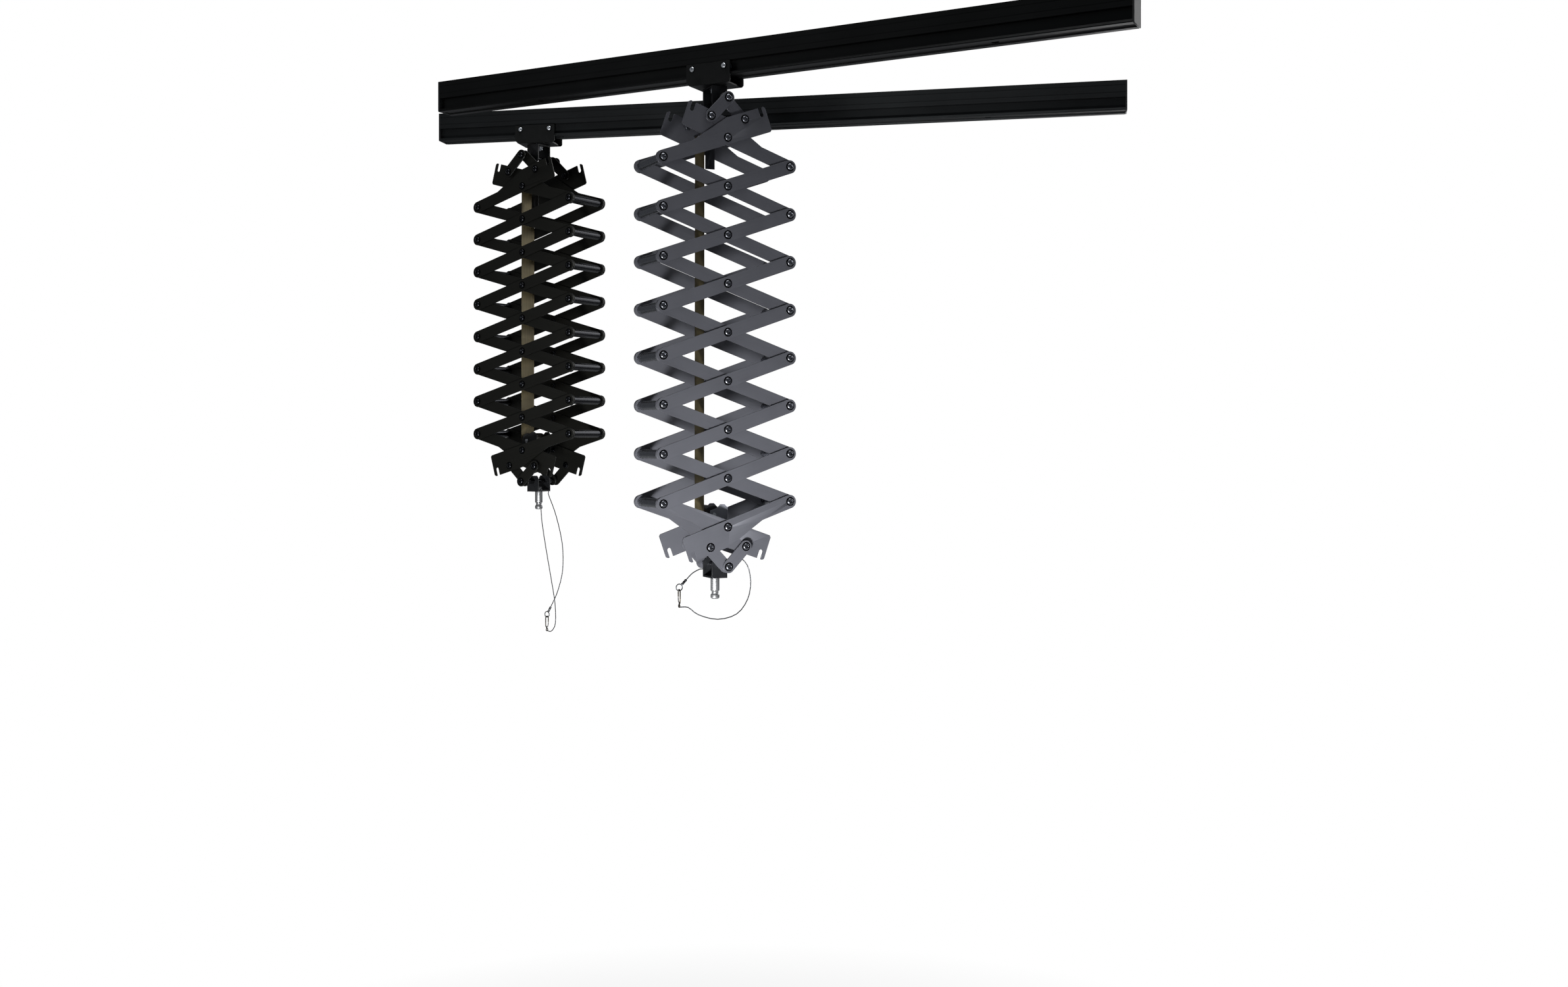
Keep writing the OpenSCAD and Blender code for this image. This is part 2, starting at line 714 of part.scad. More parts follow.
module safety_cable(open, down, hooked) {
    last = down[len(down) - 1];
    q = route(down);
    d = direction(q, len(q) - 1);
    fall = atan2(d[2], d[0]);
    ring = last + (ferrule_l + 2 * seat_gap + eye_r + cable_d / 2) * d;
    hook_at = ring - [0, 0, eye_r];
    foot = hook_at + [hook_t / 2 + seat_gap, 0, hook_seat + hook_bar - hook_l + hook_w / 8];
    up = concat(hooked, [foot]);
    translate([0, cable_depth, foot_z(open) - stirrup_h]) {
        color("#8b8d8f") {
            cable_tube(down);
            cable_tube(up);
        }
        color("#a9abad") {
            translate(last) rotate([0, -fall, 0]) translate([seat_gap, 0, 0]) rotate([0, 90, 0])
                cylinder(d = 2.4 * cable_d, h = ferrule_l);
            translate(ring) rotate([90, 0, 0]) rotate_extrude($fn = 24) translate([eye_r, 0])
                circle(d = cable_d);
        }
        color("#6e6a62") translate(hook_at) snap_hook();
    }
}

// Pieces
rail(front_rail_l);  // front_rail
on_rear_rail() rail(rear_rail_l);  // rear_rail
translate([front_carriage_x, 0, 0]) carriage();  // front_carriage
on_rear_rail() translate([rear_carriage_x, 0, 0]) carriage();  // rear_carriage
translate([front_carriage_x, 0, 0]) roller_pair(-1);  // front_rollers_left
translate([front_carriage_x, 0, 0]) roller_pair(1);  // front_rollers_right
on_rear_rail() translate([rear_carriage_x, 0, 0]) roller_pair(-1);  // rear_rollers_left
on_rear_rail() translate([rear_carriage_x, 0, 0]) roller_pair(1);  // rear_rollers_right

under_front_carriage() hanger();  // front_hanger
under_front_carriage() link(front_open, "top", -1);  // front_link_top_left
under_front_carriage() link(front_open, "top", 1);  // front_link_top_right
for (i = [1:pairs]) {
    under_front_carriage() arm("a", front_open, i);
    under_front_carriage() arm("b", front_open, i);
}
under_front_carriage() link(front_open, "bottom", -1);  // front_link_bottom_left
under_front_carriage() link(front_open, "bottom", 1);  // front_link_bottom_right
under_front_carriage() stirrup(front_open);  // front_stirrup
under_front_carriage() spring(front_open);  // front_spring
under_front_carriage()  // front_safety_cable
    safety_cable(front_open, front_eyed, front_hooked);

under_rear_carriage() hanger();  // rear_hanger
under_rear_carriage() link(rear_open, "top", -1);  // rear_link_top_left
under_rear_carriage() link(rear_open, "top", 1);  // rear_link_top_right
for (i = [1:pairs]) {
    under_rear_carriage() arm("a", rear_open, i);
    under_rear_carriage() arm("b", rear_open, i);
}
under_rear_carriage() link(rear_open, "bottom", -1);  // rear_link_bottom_left
under_rear_carriage() link(rear_open, "bottom", 1);  // rear_link_bottom_right
under_rear_carriage() stirrup(rear_open);  // rear_stirrup
under_rear_carriage() spring(rear_open);  // rear_spring
under_rear_carriage()  // rear_safety_cable
    safety_cable(rear_open, rear_eyed, rear_hooked);
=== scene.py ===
"""Looks of the ceiling rail system: two ceiling rails with rolling carriages, spring balanced
scissor hangers, studs and safety cables. Lengths are in metres unless a name or comment says mm."""
import math

import bmesh
import bpy
from mathutils import Matrix, Vector


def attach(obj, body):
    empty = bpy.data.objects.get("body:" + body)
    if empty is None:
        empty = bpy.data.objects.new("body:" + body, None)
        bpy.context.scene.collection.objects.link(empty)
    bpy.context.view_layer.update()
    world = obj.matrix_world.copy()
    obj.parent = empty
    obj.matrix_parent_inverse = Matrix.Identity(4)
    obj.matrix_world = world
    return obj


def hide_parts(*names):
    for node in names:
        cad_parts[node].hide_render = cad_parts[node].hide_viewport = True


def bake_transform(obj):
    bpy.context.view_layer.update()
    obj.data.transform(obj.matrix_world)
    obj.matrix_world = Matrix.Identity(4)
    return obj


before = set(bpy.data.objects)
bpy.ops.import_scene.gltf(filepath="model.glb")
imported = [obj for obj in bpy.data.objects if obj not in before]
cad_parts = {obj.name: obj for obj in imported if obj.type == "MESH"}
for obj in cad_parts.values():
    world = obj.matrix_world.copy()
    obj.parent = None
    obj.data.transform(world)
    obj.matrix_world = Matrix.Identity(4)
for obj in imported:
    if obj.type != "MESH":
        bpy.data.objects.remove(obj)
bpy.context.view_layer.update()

bl_info = {
    "name": "Ceiling rail system",
    "version": (1, 0, 0),
    "blender": (4, 5, 0),
    "location": "3D View > Sidebar > Ceiling rail",
    "description": "Finishes, fasteners, spring bands and wire ropes of a ceiling rail system",
    "category": "Object",
}

MM = 0.001
SIDES = ("front", "rear")

# Numbers that the part's source gives
RAIL_PLACE = {
    "front": Matrix.Identity(4),
    "rear": Matrix.Translation((-0.180, 0.430, 0)) @ Matrix.Rotation(math.radians(16), 4, "Z"),
}
CARRIAGE_X = {"front": -0.070, "rear": -0.500}
SCISSOR_TURN = {"front": 53, "rear": -20.5}
OPEN = {"front": math.radians(19.25), "rear": math.radians(15.6)}
PAIRS = 9
ARM_L, ARM_W, ARM_T = 260 * MM, 24 * MM, 3 * MM
LINK_U, LINK_V = 43 * MM, 22 * MM
LINK_LEAN = math.atan2(LINK_V, LINK_U)
APEX_Z, AXLE_Z = -103 * MM, -43.7 * MM
AXLE_PITCH, AXLE_HEAD_Y = 64 * MM, 27.02 * MM
INNER_ARM, OUTER_ARM = 48 * MM, 52 * MM
PIN_R = 4 * MM
STIRRUP_H = 23 * MM
BAND_W, BAND_X, BAND_TOP = 42 * MM, 30 * MM, 12 * MM
DRUM_R, DRUM_X, DRUM_Z = 17 * MM, 13 * MM, 20 * MM
CABLE_DEPTH = 19 * MM
FERRULE_L, FERRULE_R, EYE_R = 12 * MM, 2.4 * MM, 6 * MM
# The hook's length, and its top above the lowest point of the cable's eye
HOOK_L_MM, HOOK_TOP_MM = 34, 3.25
SEAT_GAP = 0.02 * MM

# Where bolt heads and nuts lie, from a scissor's middle plane, and how long the bolts' stems are
CROSS_BOLT_Y, END_BOLT_Y, LINK_BOLT_Y = 55.02 * MM, 55.2 * MM, 59.2 * MM
LINK_NUT_Y, CROSS_NUT_Y, PLATE_NUT_Y = 43.8 * MM, 47.8 * MM, 47.98 * MM
LONG_STEM, SHORT_STEM = 55 * MM, 12 * MM
NUT_W, NUT_H, BOLT_END = 14 * MM, 4 * MM, 1 * MM

# Cable routes in mm, from the middle of a stirrup's underside: right, back and up
EYED = {
    "front": [(-15.05, 0, 14), (-18.5, 0, 14), (-23, 0, 13.4), (-36, 0, 7), (-48, 0, -4)],
    "rear": [(11, 0, -0.05), (11, 0, -4), (12, 0, -9), (32, 0, -52), (49, 0, -112),
             (50, 0, -168), (36, 0, -215), (17, 0, -249)],
}
HOOKED = {
    "front": [(15.05, 0, 14), (18, 0, 14), (22, 0, 14.8), (36, 0, 26), (55, 0, 33), (73, 0, 18),
              (80, 0, -12), (74, 0, -44), (52, 0, -70), (14, 0, -78), (-24, 0, -68), (-44, 0, -54)],
    "rear": [(-11, 0, -0.05), (-11, 0, -4), (-11.4, 0, -9), (-7, -1, -60), (6, -3, -120),
             (24, -6, -190), (34, -6, -240), (32, -2, -282), (20, 0, -300)],
}


def place_of(side, z=0):
    """The frame of a scissor at a height: under its carriage, turned with its hanger."""
    return (RAIL_PLACE[side] @ Matrix.Translation((CARRIAGE_X[side], 0, 0))
            @ Matrix.Rotation(math.radians(SCISSOR_TURN[side]), 4, "Z")
            @ Matrix.Translation((0, 0, z)))


def apex_drop(side):
    return 2 * math.hypot(LINK_U, LINK_V) * math.sin(OPEN[side] + LINK_LEAN)


def cross_z(side, i):
    return APEX_Z - apex_drop(side) - (i - 1) * ARM_L * math.sin(OPEN[side])


def foot_z(side):
    return cross_z(side, PAIRS) - apex_drop(side)


def arm_place(side, layer, i):
    """An arm's own frame, x along it towards the end that is raised at the top of the scissor."""
    flip = Matrix.Diagonal((-1 if layer == "b" else 1, 1, 1, 1))
    lean = OPEN[side] + (math.pi if i == PAIRS else 0)
    return place_of(side, cross_z(side, i)) @ flip @ Matrix.Rotation(-lean, 4, "Y")


# Nodes and colours
def linear(hex_value):
    """An sRGB hex colour as linear red, green and blue."""
    parts = [int(hex_value[i:i + 2], 16) / 255 for i in (1, 3, 5)]
    return tuple(c / 12.92 if c <= 0.04045 else ((c + 0.055) / 1.055) ** 2.4 for c in parts)


def titled(key):
    """A socket's label from a keyword."""
    return key.replace("_", " ").title()


def add(tree, kind, places=None, **values):
    """Adds a node. Values named like its inputs are set or linked there, the others are its
    settings, and places holds inputs by number or exact label."""
    made = tree.nodes.new(kind)
    inputs = dict(places or {})
    for key, value in values.items():
        if titled(key) in made.inputs:
            inputs[titled(key)] = value
        else:
            setattr(made, key, value)
    for key, value in inputs.items():
        if isinstance(value, bpy.types.NodeSocket):
            tree.links.new(value, made.inputs[key])
        else:
            made.inputs[key].default_value = value
    return made


def maths(tree, a, b, operation="MULTIPLY"):
    return add(tree, "ShaderNodeMath", {0: a, 1: b}, operation=operation).outputs[0]


def mixed(tree, share, first, second):
    places = {0: share, 1: first.outputs[0], 2: second.outputs[0]}
    return add(tree, "ShaderNodeMixShader", places)


def per_mm(size):
    """Texture scale that gives a pattern this many millimetres across."""
    return 1 / (size * MM)


class Surface:
    """A material with one Principled shader, its uniform values on the shader's own sockets, and
    the patterns that drive it."""

    def __init__(self, name, rgb, places=None, **inputs):
        self.rgb = rgb
        self.material = bpy.data.materials.new(name)
        self.material.use_nodes = True
        self.material.diffuse_color = (*rgb, 1)
        self.tree = self.material.node_tree
        self.tree.nodes.clear()
        self.bsdf = add(self.tree, "ShaderNodeBsdfPrincipled", places, base_color=(*rgb, 1),
                        **inputs)
        self.out = add(self.tree, "ShaderNodeOutputMaterial", surface=self.bsdf.outputs[0])

    def place(self):
        return add(self.tree, "ShaderNodeTexCoord").outputs["Object"]

    def grain(self, scale):
        """Coordinates in the piece's own frame, stretched so that a pattern becomes streaks."""
        place = add(self.tree, "ShaderNodeAttribute", attribute_name="grain").outputs["Vector"]
        return add(self.tree, "ShaderNodeMapping", vector=place, scale=scale).outputs[0]

    def noise(self, vector, scale, detail, rough=0.5):
        return add(self.tree, "ShaderNodeTexNoise", vector=vector, scale=scale, detail=detail,
                   roughness=rough).outputs[0]

    def patches(self, size_mm, detail=2):
        return self.noise(self.place(), per_mm(size_mm), detail)

    def streaks(self, sizes_mm, detail, rough=0.5):
        """A pattern with its own size along each axis of the piece."""
        return self.noise(self.grain([per_mm(size) for size in sizes_mm]), 1, detail, rough)

    def spread(self, value, low, high):
        """Maps a 0 to 1 pattern to a range."""
        return add(self.tree, "ShaderNodeMapRange", value=value, to_min=low, to_max=high).outputs[0]

    def colours(self, value, low, high):
        """Drives the base colour from one colour to another."""
        mix = add(self.tree, "ShaderNodeMix", {0: value, 6: (*low, 1), 7: (*high, 1)},
                  data_type="RGBA")
        self.tree.links.new(mix.outputs[2], self.bsdf.inputs["Base Color"])

    def shades(self, value, darker, lighter):
        """Drives the base colour between a darker and a lighter shade of its one colour."""
        self.colours(value, *([c * factor for c in self.rgb] for factor in (darker, lighter)))

    def done(self, rough, relief=None):
        """Ends a material with its roughness, as pattern, low and high, and its relief, as
        pattern, full depth in mm and strength."""
        self.tree.links.new(self.spread(*rough), self.bsdf.inputs["Roughness"])
        if relief:
            height, depth_mm, strength = relief
            raised = add(self.tree, "ShaderNodeBump", height=height, distance=depth_mm * MM,
                         strength=strength)
            self.tree.links.new(raised.outputs[0], self.bsdf.inputs["Normal"])
        return self.material


def anodised_bar(name, rgb, rough, metal=0.35):
    # Anodised aluminium flat bar: satin, with fine rolling streaks along the bar and a soft
    # cloudiness where the dye took unevenly. The streaks are 0.8 mm apart so that they show.
    bar = Surface(name, rgb, metallic=metal, roughness=rough)
    streak = bar.streaks((60, 0.8, 0.8), 3)
    bar.shades(maths(bar.tree, maths(bar.tree, streak, bar.patches(45, 3), "ADD"), 0.5), 0.72, 1.28)
    return bar.done((streak, rough - 0.09, rough + 0.12), (streak, 0.02, 0.35))


def anodised_rail(name, rgb, low=0.3, high=0.55):
    # Black anodised aluminium extrusion: die lines 1.5 mm apart run the whole length, and
    # 90 mm clouds of the dye keep the long faces from looking flat. The rear rail is duller.
    rail = Surface(name, rgb, metallic=0.9, roughness=0.42)
    die = rail.streaks((900, 1.5, 1.5), 4, 0.6)
    rail.shades(rail.patches(90), 0.7, 1.4)
    return rail.done((die, low, high), (die, 0.03, 0.3))


def powder_coat(name, rgb, sheen=0.3):
    # Black powder coat on pressed steel: a fine orange peel 1.1 mm across breaks up the
    # reflections, and the coat is a little glossier where it flowed together.
    coat = Surface(name, rgb, {"Specular IOR Level": sheen}, roughness=0.45)
    flow = coat.patches(14)
    coat.shades(flow, 0.8, 1.25)
    return coat.done((flow, 0.34, 0.52), (coat.patches(1.1), 0.05, 0.35))


def oxide_steel(name, rgb):
    # Black oxide on machined bolts: dark satin metal, mottled
    # at 2.5 mm as the oil film dries.
    steel = Surface(name, rgb, metallic=1.0, roughness=0.26)
    mottle = steel.patches(2.5, 3)
    steel.shades(mottle, 0.65, 1.5)
    return steel.done((mottle, 0.16, 0.36))


def zinc_plate(name, rgb):
    # Bright zinc on screws, nuts and pressed sheet: pale metal, slightly milky in 4 mm
    # patches, with a fine grain that scatters its highlights.
    zinc = Surface(name, rgb, metallic=1.0, roughness=0.3)
    milk = zinc.patches(4, 3)
    zinc.shades(milk, 0.8, 1.12)
    return zinc.done((milk, 0.2, 0.42), (zinc.patches(0.7), 0.015, 0.3))


def turned_steel(name, rgb):
    # Turned and nickel plated stud: tool rings 0.6 mm apart round the stud, drawn coarser
    # than the real feed so that they show as a soft banding in the highlight.
    stud = Surface(name, rgb, metallic=0.8, roughness=0.36)
    rings = add(stud.tree, "ShaderNodeTexWave", bands_direction="Z", vector=stud.grain((1, 1, 1)),
                scale=per_mm(0.6) / 20, distortion=0.4).outputs["Fac"]
    stud.shades(stud.patches(9, 3), 0.82, 1.08)
    return stud.done((rings, 0.3, 0.46), (rings, 0.02, 0.3))


def moulded_plastic(name, rgb, rough, grit_mm):
    # Moulded plastic: even colour with a spark-eroded grain that dulls the shine.
    plastic = Surface(name, rgb, {"IOR": 1.5}, roughness=rough)
    grit = plastic.patches(grit_mm)
    plastic.shades(plastic.patches(25), 0.88, 1.15)
    return plastic.done((grit, rough - 0.06, rough + 0.1), (grit, 0.04, 0.4))


def tempered_steel(name, rgb, straw):
    # Tempered spring steel: brown oxide with straw coloured bands across the strip every
    # 35 mm or so, and rub lines 1 mm apart along it from winding on the drum.
    band = Surface(name, rgb, metallic=0.55, roughness=0.4)
    rub, heat = band.streaks((1, 1, 70), 3), band.streaks((300, 300, 35), 2)
    worn = band.spread(maths(band.tree, rub, heat), 0.0, 2.2)
    band.colours(worn, [0.55 * c for c in rgb], linear(straw))
    return band.done((rub, 0.28, 0.5), (rub, 0.02, 0.25))


def drawn_wire(name, rgb):
    # Galvanised steel wire rope: the strands are in the mesh; this gives the dull grey of
    # the zinc, darker where dirt gathers, in patches 6 mm long.
    wire = Surface(name, rgb, metallic=1.0, roughness=0.42)
    dirt = wire.patches(6, 4)
    wire.shades(dirt, 0.55, 1.25)
    return wire.done((dirt, 0.32, 0.55), (wire.patches(0.5), 0.03, 0.5))


# Each finish: its maker, its material's name, its colour, which is None where the settings hold
# it under the finish's own name, and the maker's own values
FINISHES = {
    "front_rail": (anodised_rail, "black_anodised_extrusion", None),
    "rear_rail": (anodised_rail, "faded_black_extrusion", None, 0.48, 0.72),
    "cap": (moulded_plastic, "moulded_abs_cap", "#161718", 0.5, 0.7),
    "carriage": (powder_coat, "black_powder_coat_carriage", None, 0.12),
    "bracket": (powder_coat, "black_powder_coat_bracket", None),
    "front_arm": (anodised_bar, "grey_anodised_bar", None, 0.52),
    # The front bars' broken edges are darker than the bars: painted shade lines along the edges
    "front_edge": (anodised_bar, "grey_anodised_edge", None, 0.4),
    "rear_arm": (anodised_bar, "black_anodised_bar", None, 0.44, 0.85),
    # The rear bars' broken edges are a little lighter than the bars: a painted highlight along the
    # edges
    "rear_edge": (anodised_bar, "black_anodised_edge", None, 0.36, 0.85),
    "front_bolt": (oxide_steel, "satin_steel_bolt", None),
    "rear_bolt": (oxide_steel, "black_oxide_bolt", None),
    # The black washers' dark ring round each bolt head is partly the washer's own black and partly
    # painted shadow at the head's edge
    "washer": (oxide_steel, "black_oxide_washer", "#141516"),
    "zinc": (zinc_plate, "bright_zinc_screw", None),
    "front_tab": (powder_coat, "painted_spring_tab", "#2c2e33"),
    "rear_tab": (powder_coat, "black_spring_tab", "#141516"),
    # The front cheek is lighter than the front bars: painted light on a sheet that lies in shade
    "front_cheek": (anodised_bar, "grey_cheek_sheet", "#85878f", 0.55),
    "rear_cheek": (anodised_bar, "black_cheek_sheet", "#1a1b1c", 0.5),
    "stud": (turned_steel, "turned_nickel_stud", "#8e8f90"),
    "roller": (moulded_plastic, "nylon_roller", "#36393c", 0.4, 1.2),
    "band": (tempered_steel, "tempered_spring_band", None, "#8c805c"),
    # The wound roll is near black: painted shade of the band where it lies in the drum
    "wound": (tempered_steel, "oiled_spring_roll", "#1f1c17", "#2f2a20"),
    "rope": (drawn_wire, "galvanised_wire_rope", None),
    "ferrule": (zinc_plate, "pressed_ferrule", "#57585a"),
    "hook": (zinc_plate, "cast_snap_hook", "#3a362f"),
    "drum": (moulded_plastic, "black_drum_flange", "#0f1011", 0.45, 0.9),
}
MATERIALS = {}


def finish(name):
    """A named finish, made once."""
    if name not in MATERIALS:
        maker, label, hex_value, *values = FINISHES[name]
        settings = bpy.context.scene.rail_finishes
        rgb = linear(hex_value) if hex_value else getattr(settings, name)
        MATERIALS[name] = maker(label, rgb, *values)
    return MATERIALS[name]


# Meshes
# Edges are broken above the first angle and shaded sharp above the second. Faces of the CAD
# that differ by less than the third are made one, and its points nearer than WELD are merged.
BROKEN, SHADED_SHARP, FLAT = math.radians(32), math.radians(35), math.radians(0.5)
WELD = 0.002 * MM
THIN_EDGE, PLAIN_EDGE, FOLDED_EDGE = 0.3 * MM, 0.4 * MM, 0.5 * MM


def put(name, mesh, place=None):
    """Links a mesh as an object at the origin, with its grain coordinates in the piece's frame."""
    mesh.name = name
    back = (place or Matrix.Identity(4)).inverted()
    values = [x for v in mesh.vertices for x in back @ v.co]
    grain = mesh.attributes.get("grain") or mesh.attributes.new("grain", "FLOAT_VECTOR", "POINT")
    grain.data.foreach_set("vector", values)
    mesh.polygons.foreach_set("use_smooth", [True] * len(mesh.polygons))
    mesh.set_sharp_from_angle(angle=SHADED_SHARP)
    return link(bpy.data.objects.new(name, mesh))


def link(made):
    bpy.context.scene.collection.objects.link(made)
    return made


def stand_in(piece, node, body):
    """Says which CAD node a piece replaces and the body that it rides."""
    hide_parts(node)
    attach(piece, body)


def ended(bm, name, finishes=()):
    """A mesh from a bmesh, with its finishes."""
    mesh = bpy.data.meshes.new(name)
    bm.to_mesh(mesh)
    bm.free()
    for item in finishes:
        mesh.materials.append(finish(item))
    return mesh


def evaluated(worker):
    """The plain mesh of a scratch object, which is then removed."""
    graph = bpy.context.evaluated_depsgraph_get()
    mesh = bpy.data.meshes.new_from_object(worker.evaluated_get(graph), depsgraph=graph)
    bpy.data.objects.remove(worker)
    return mesh


def islands(bm):
    """The loose parts of a mesh, as lists of faces."""
    left, found = set(bm.faces), []
    while left:
        group, stack = [], [left.pop()]
        while stack:
            face = stack.pop()
            group.append(face)
            for edge in face.edges:
                for other in edge.link_faces:
                    if other in left:
                        left.remove(other)
                        stack.append(other)
        found.append(group)
    return found


def break_edges(bm, width, number=-1):
    """Breaks sharp edges with a small bevel, and gives its faces a material number."""
    sharp = [e for e in bm.edges if len(e.link_faces) == 2 and e.calc_face_angle(0) > BROKEN]
    bmesh.ops.bevel(bm, geom=sharp, offset=width, segments=1, affect="EDGES", clamp_overlap=True,
                    material=number)


def cad_copy(node, place, sort, finishes, edge=None, bevel=PLAIN_EDGE):
    """A merged, bevelled copy of the solids of a CAD node that sort keeps, one material for each.
    sort gets the low corner, the high corner and the smallest distance from the solid's own
    depth axis, in the frame of place, and gives the number of a finish or None."""
    bm = bmesh.new()
    bm.from_mesh(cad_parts[node].data)
    bmesh.ops.remove_doubles(bm, verts=bm.verts, dist=WELD)
    bmesh.ops.dissolve_limit(bm, angle_limit=FLAT, verts=bm.verts, edges=bm.edges)
    back = place.inverted()
    gone = []
    for group in islands(bm):
        points = [back @ v.co for v in {v for face in group for v in face.verts}]
        low = Vector([min(p[k] for p in points) for k in range(3)])
        high = Vector([max(p[k] for p in points) for k in range(3)])
        mid = (low + high) / 2
        core = min(math.hypot(p.x - mid.x, p.z - mid.z) for p in points)
        number = sort(low, high, core)
        if number is None:
            gone += group
        else:
            for face in group:
                face.material_index = number
    bmesh.ops.delete(bm, geom=gone, context="FACES")
    break_edges(bm, bevel, len(finishes) if edge else -1)
    return ended(bm, node, finishes + ([edge] if edge else []))


def keep_all(low, high, core):
    return 0


def ring_only(core):
    """Sorts small solids: rings are kept as number 1, and solid pins are left out."""
    return 1 if core > PIN_R + 0.005 * MM else None


def joined(meshes):
    """One mesh from several, each keeping its materials."""
    bm, materials = bmesh.new(), []
    for mesh in meshes:
        first = len(bm.faces)
        bm.from_mesh(mesh)
        bm.faces.ensure_lookup_table()
        for face in bm.faces[first:]:
            material = mesh.materials[face.material_index]
            if material not in materials:
                materials.append(material)
            face.material_index = materials.index(material)
    made = ended(bm, "joined")
    for material in materials:
        made.materials.append(material)
    return made


def circle(count, radius):
    """The points of a circle, as across and up."""
    return [(radius * math.cos(t), radius * math.sin(t))
            for t in (2 * math.pi * k / count for k in range(count))]


def turned(profile, place, name, turns):
    """A closed lathe form about the z axis of place, from radius and height pairs that start and
    end at radius 0."""
    bm = bmesh.new()
    rings = []
    for radius, height in profile:
        if radius == 0:
            rings.append([bm.verts.new((0, 0, height))] * turns)
        else:
            rings.append([bm.verts.new((x, y, height)) for x, y in circle(turns, radius)])
    for low, high in zip(rings, rings[1:]):
        for k in range(turns):
            corners = [low[k], low[(k + 1) % turns], high[(k + 1) % turns], high[k]]
            bm.faces.new(list(dict.fromkeys(corners)))
    bmesh.ops.recalc_face_normals(bm, faces=bm.faces)
    mesh = ended(bm, "turned", [name])
    mesh.transform(place)
    return mesh


# Geometry Nodes
def new_tree(name, **sizes):
    """An empty geometry tree with inputs for its sizes and its material: the tree, its given
    values and its output node."""
    tree = bpy.data.node_groups.new(name, "GeometryNodeTree")

    def socket(label, kind, in_out="INPUT"):
        return tree.interface.new_socket(label, in_out=in_out, socket_type="NodeSocket" + kind)
    socket("Geometry", "Geometry")
    for key, default in sizes.items():
        socket(titled(key), "Int" if isinstance(default, int) else "Float").default_value = default
    socket("Material", "Material")
    socket("Geometry", "Geometry", "OUTPUT")
    return tree, add(tree, "NodeGroupInput").outputs, add(tree, "NodeGroupOutput")


def geo(tree, kind, **values):
    """The first output of a new geometry node."""
    return add(tree, "GeometryNode" + kind, **values).outputs[0]


def close_tree(tree, given, out, geometry):
    """Ends a tree in Realize Instances and Set Material."""
    real = geo(tree, "RealizeInstances", geometry=geometry)
    done = geo(tree, "SetMaterial", geometry=real, material=given["Material"])
    tree.links.new(done, out.inputs[0])
    return tree


def column(tree, mesh, steps, top=True):
    """Extrudes faces in steps of rise and scale of their new end: the mesh and its end."""
    for rise, scale in steps:
        step = add(tree, "GeometryNodeExtrudeMesh", mesh=mesh, selection=top, offset_scale=rise,
                   individual=False).outputs
        top = step["Top"]
        mesh = geo(tree, "ScaleElements", geometry=step["Mesh"], selection=top, scale=scale)
    return mesh, top


def parts_of(tree, height, steps):
    """Steps of a column whose rises are shares of a height."""
    return [(maths(tree, height, share), scale) for share, scale in steps]


def disc(tree, sides, radius):
    return geo(tree, "MeshCircle", fill_type="NGON", vertices=sides, radius=radius)


def rod(tree, sides, diameter, depth, share):
    """A cylinder whose middle lies at a share of its depth."""
    made = geo(tree, "MeshCylinder", vertices=sides, radius=maths(tree, diameter, 0.5),
               depth=depth)
    return moved(tree, made, vector(tree, z=maths(tree, depth, share)))


def hoop(tree, diameter):
    return geo(tree, "CurvePrimitiveCircle", resolution=24, radius=maths(tree, diameter, 0.5))


def both(tree, *geometry):
    made = add(tree, "GeometryNodeJoinGeometry")
    for item in geometry:
        tree.links.new(item, made.inputs[0])
    return made.outputs[0]


def closed(tree, mesh, base):
    """An extruded mesh closed with its own base, turned over."""
    whole = both(tree, mesh, geo(tree, "FlipFaces", mesh=base))
    return geo(tree, "MergeByDistance", geometry=whole, distance=1e-6)


def moved(tree, geometry, offset, turn=(0, 0, 0)):
    return geo(tree, "Transform", geometry=geometry, translation=offset, rotation=turn)


def vector(tree, **parts):
    return add(tree, "ShaderNodeCombineXYZ", **parts).outputs[0]


def polar(tree):
    """A point's coordinates and its angle about the z axis."""
    spot = add(tree, "ShaderNodeSeparateXYZ", vector=geo(tree, "InputPosition")).outputs
    return spot, maths(tree, spot["Y"], spot["X"], "ARCTAN2")


def pushed(tree, geometry, spot, reach, selection=True):
    """Geometry whose selected points are moved away from the z axis by a factor."""
    position = vector(tree, x=maths(tree, spot["X"], reach), y=maths(tree, spot["Y"], reach),
                      z=spot["Z"])
    return geo(tree, "SetPosition", geometry=geometry, selection=selection, position=position)


def on_points(tree, given, geometry):
    """Puts a copy on each point of the input, its z axis along the point's aim."""
    aim = geo(tree, "InputNamedAttribute", data_type="FLOAT_VECTOR", name="aim")
    turn = add(tree, "FunctionNodeAlignRotationToVector", axis="Z", vector=aim).outputs[0]
    return geo(tree, "InstanceOnPoints", points=given["Geometry"], instance=geometry, rotation=turn)


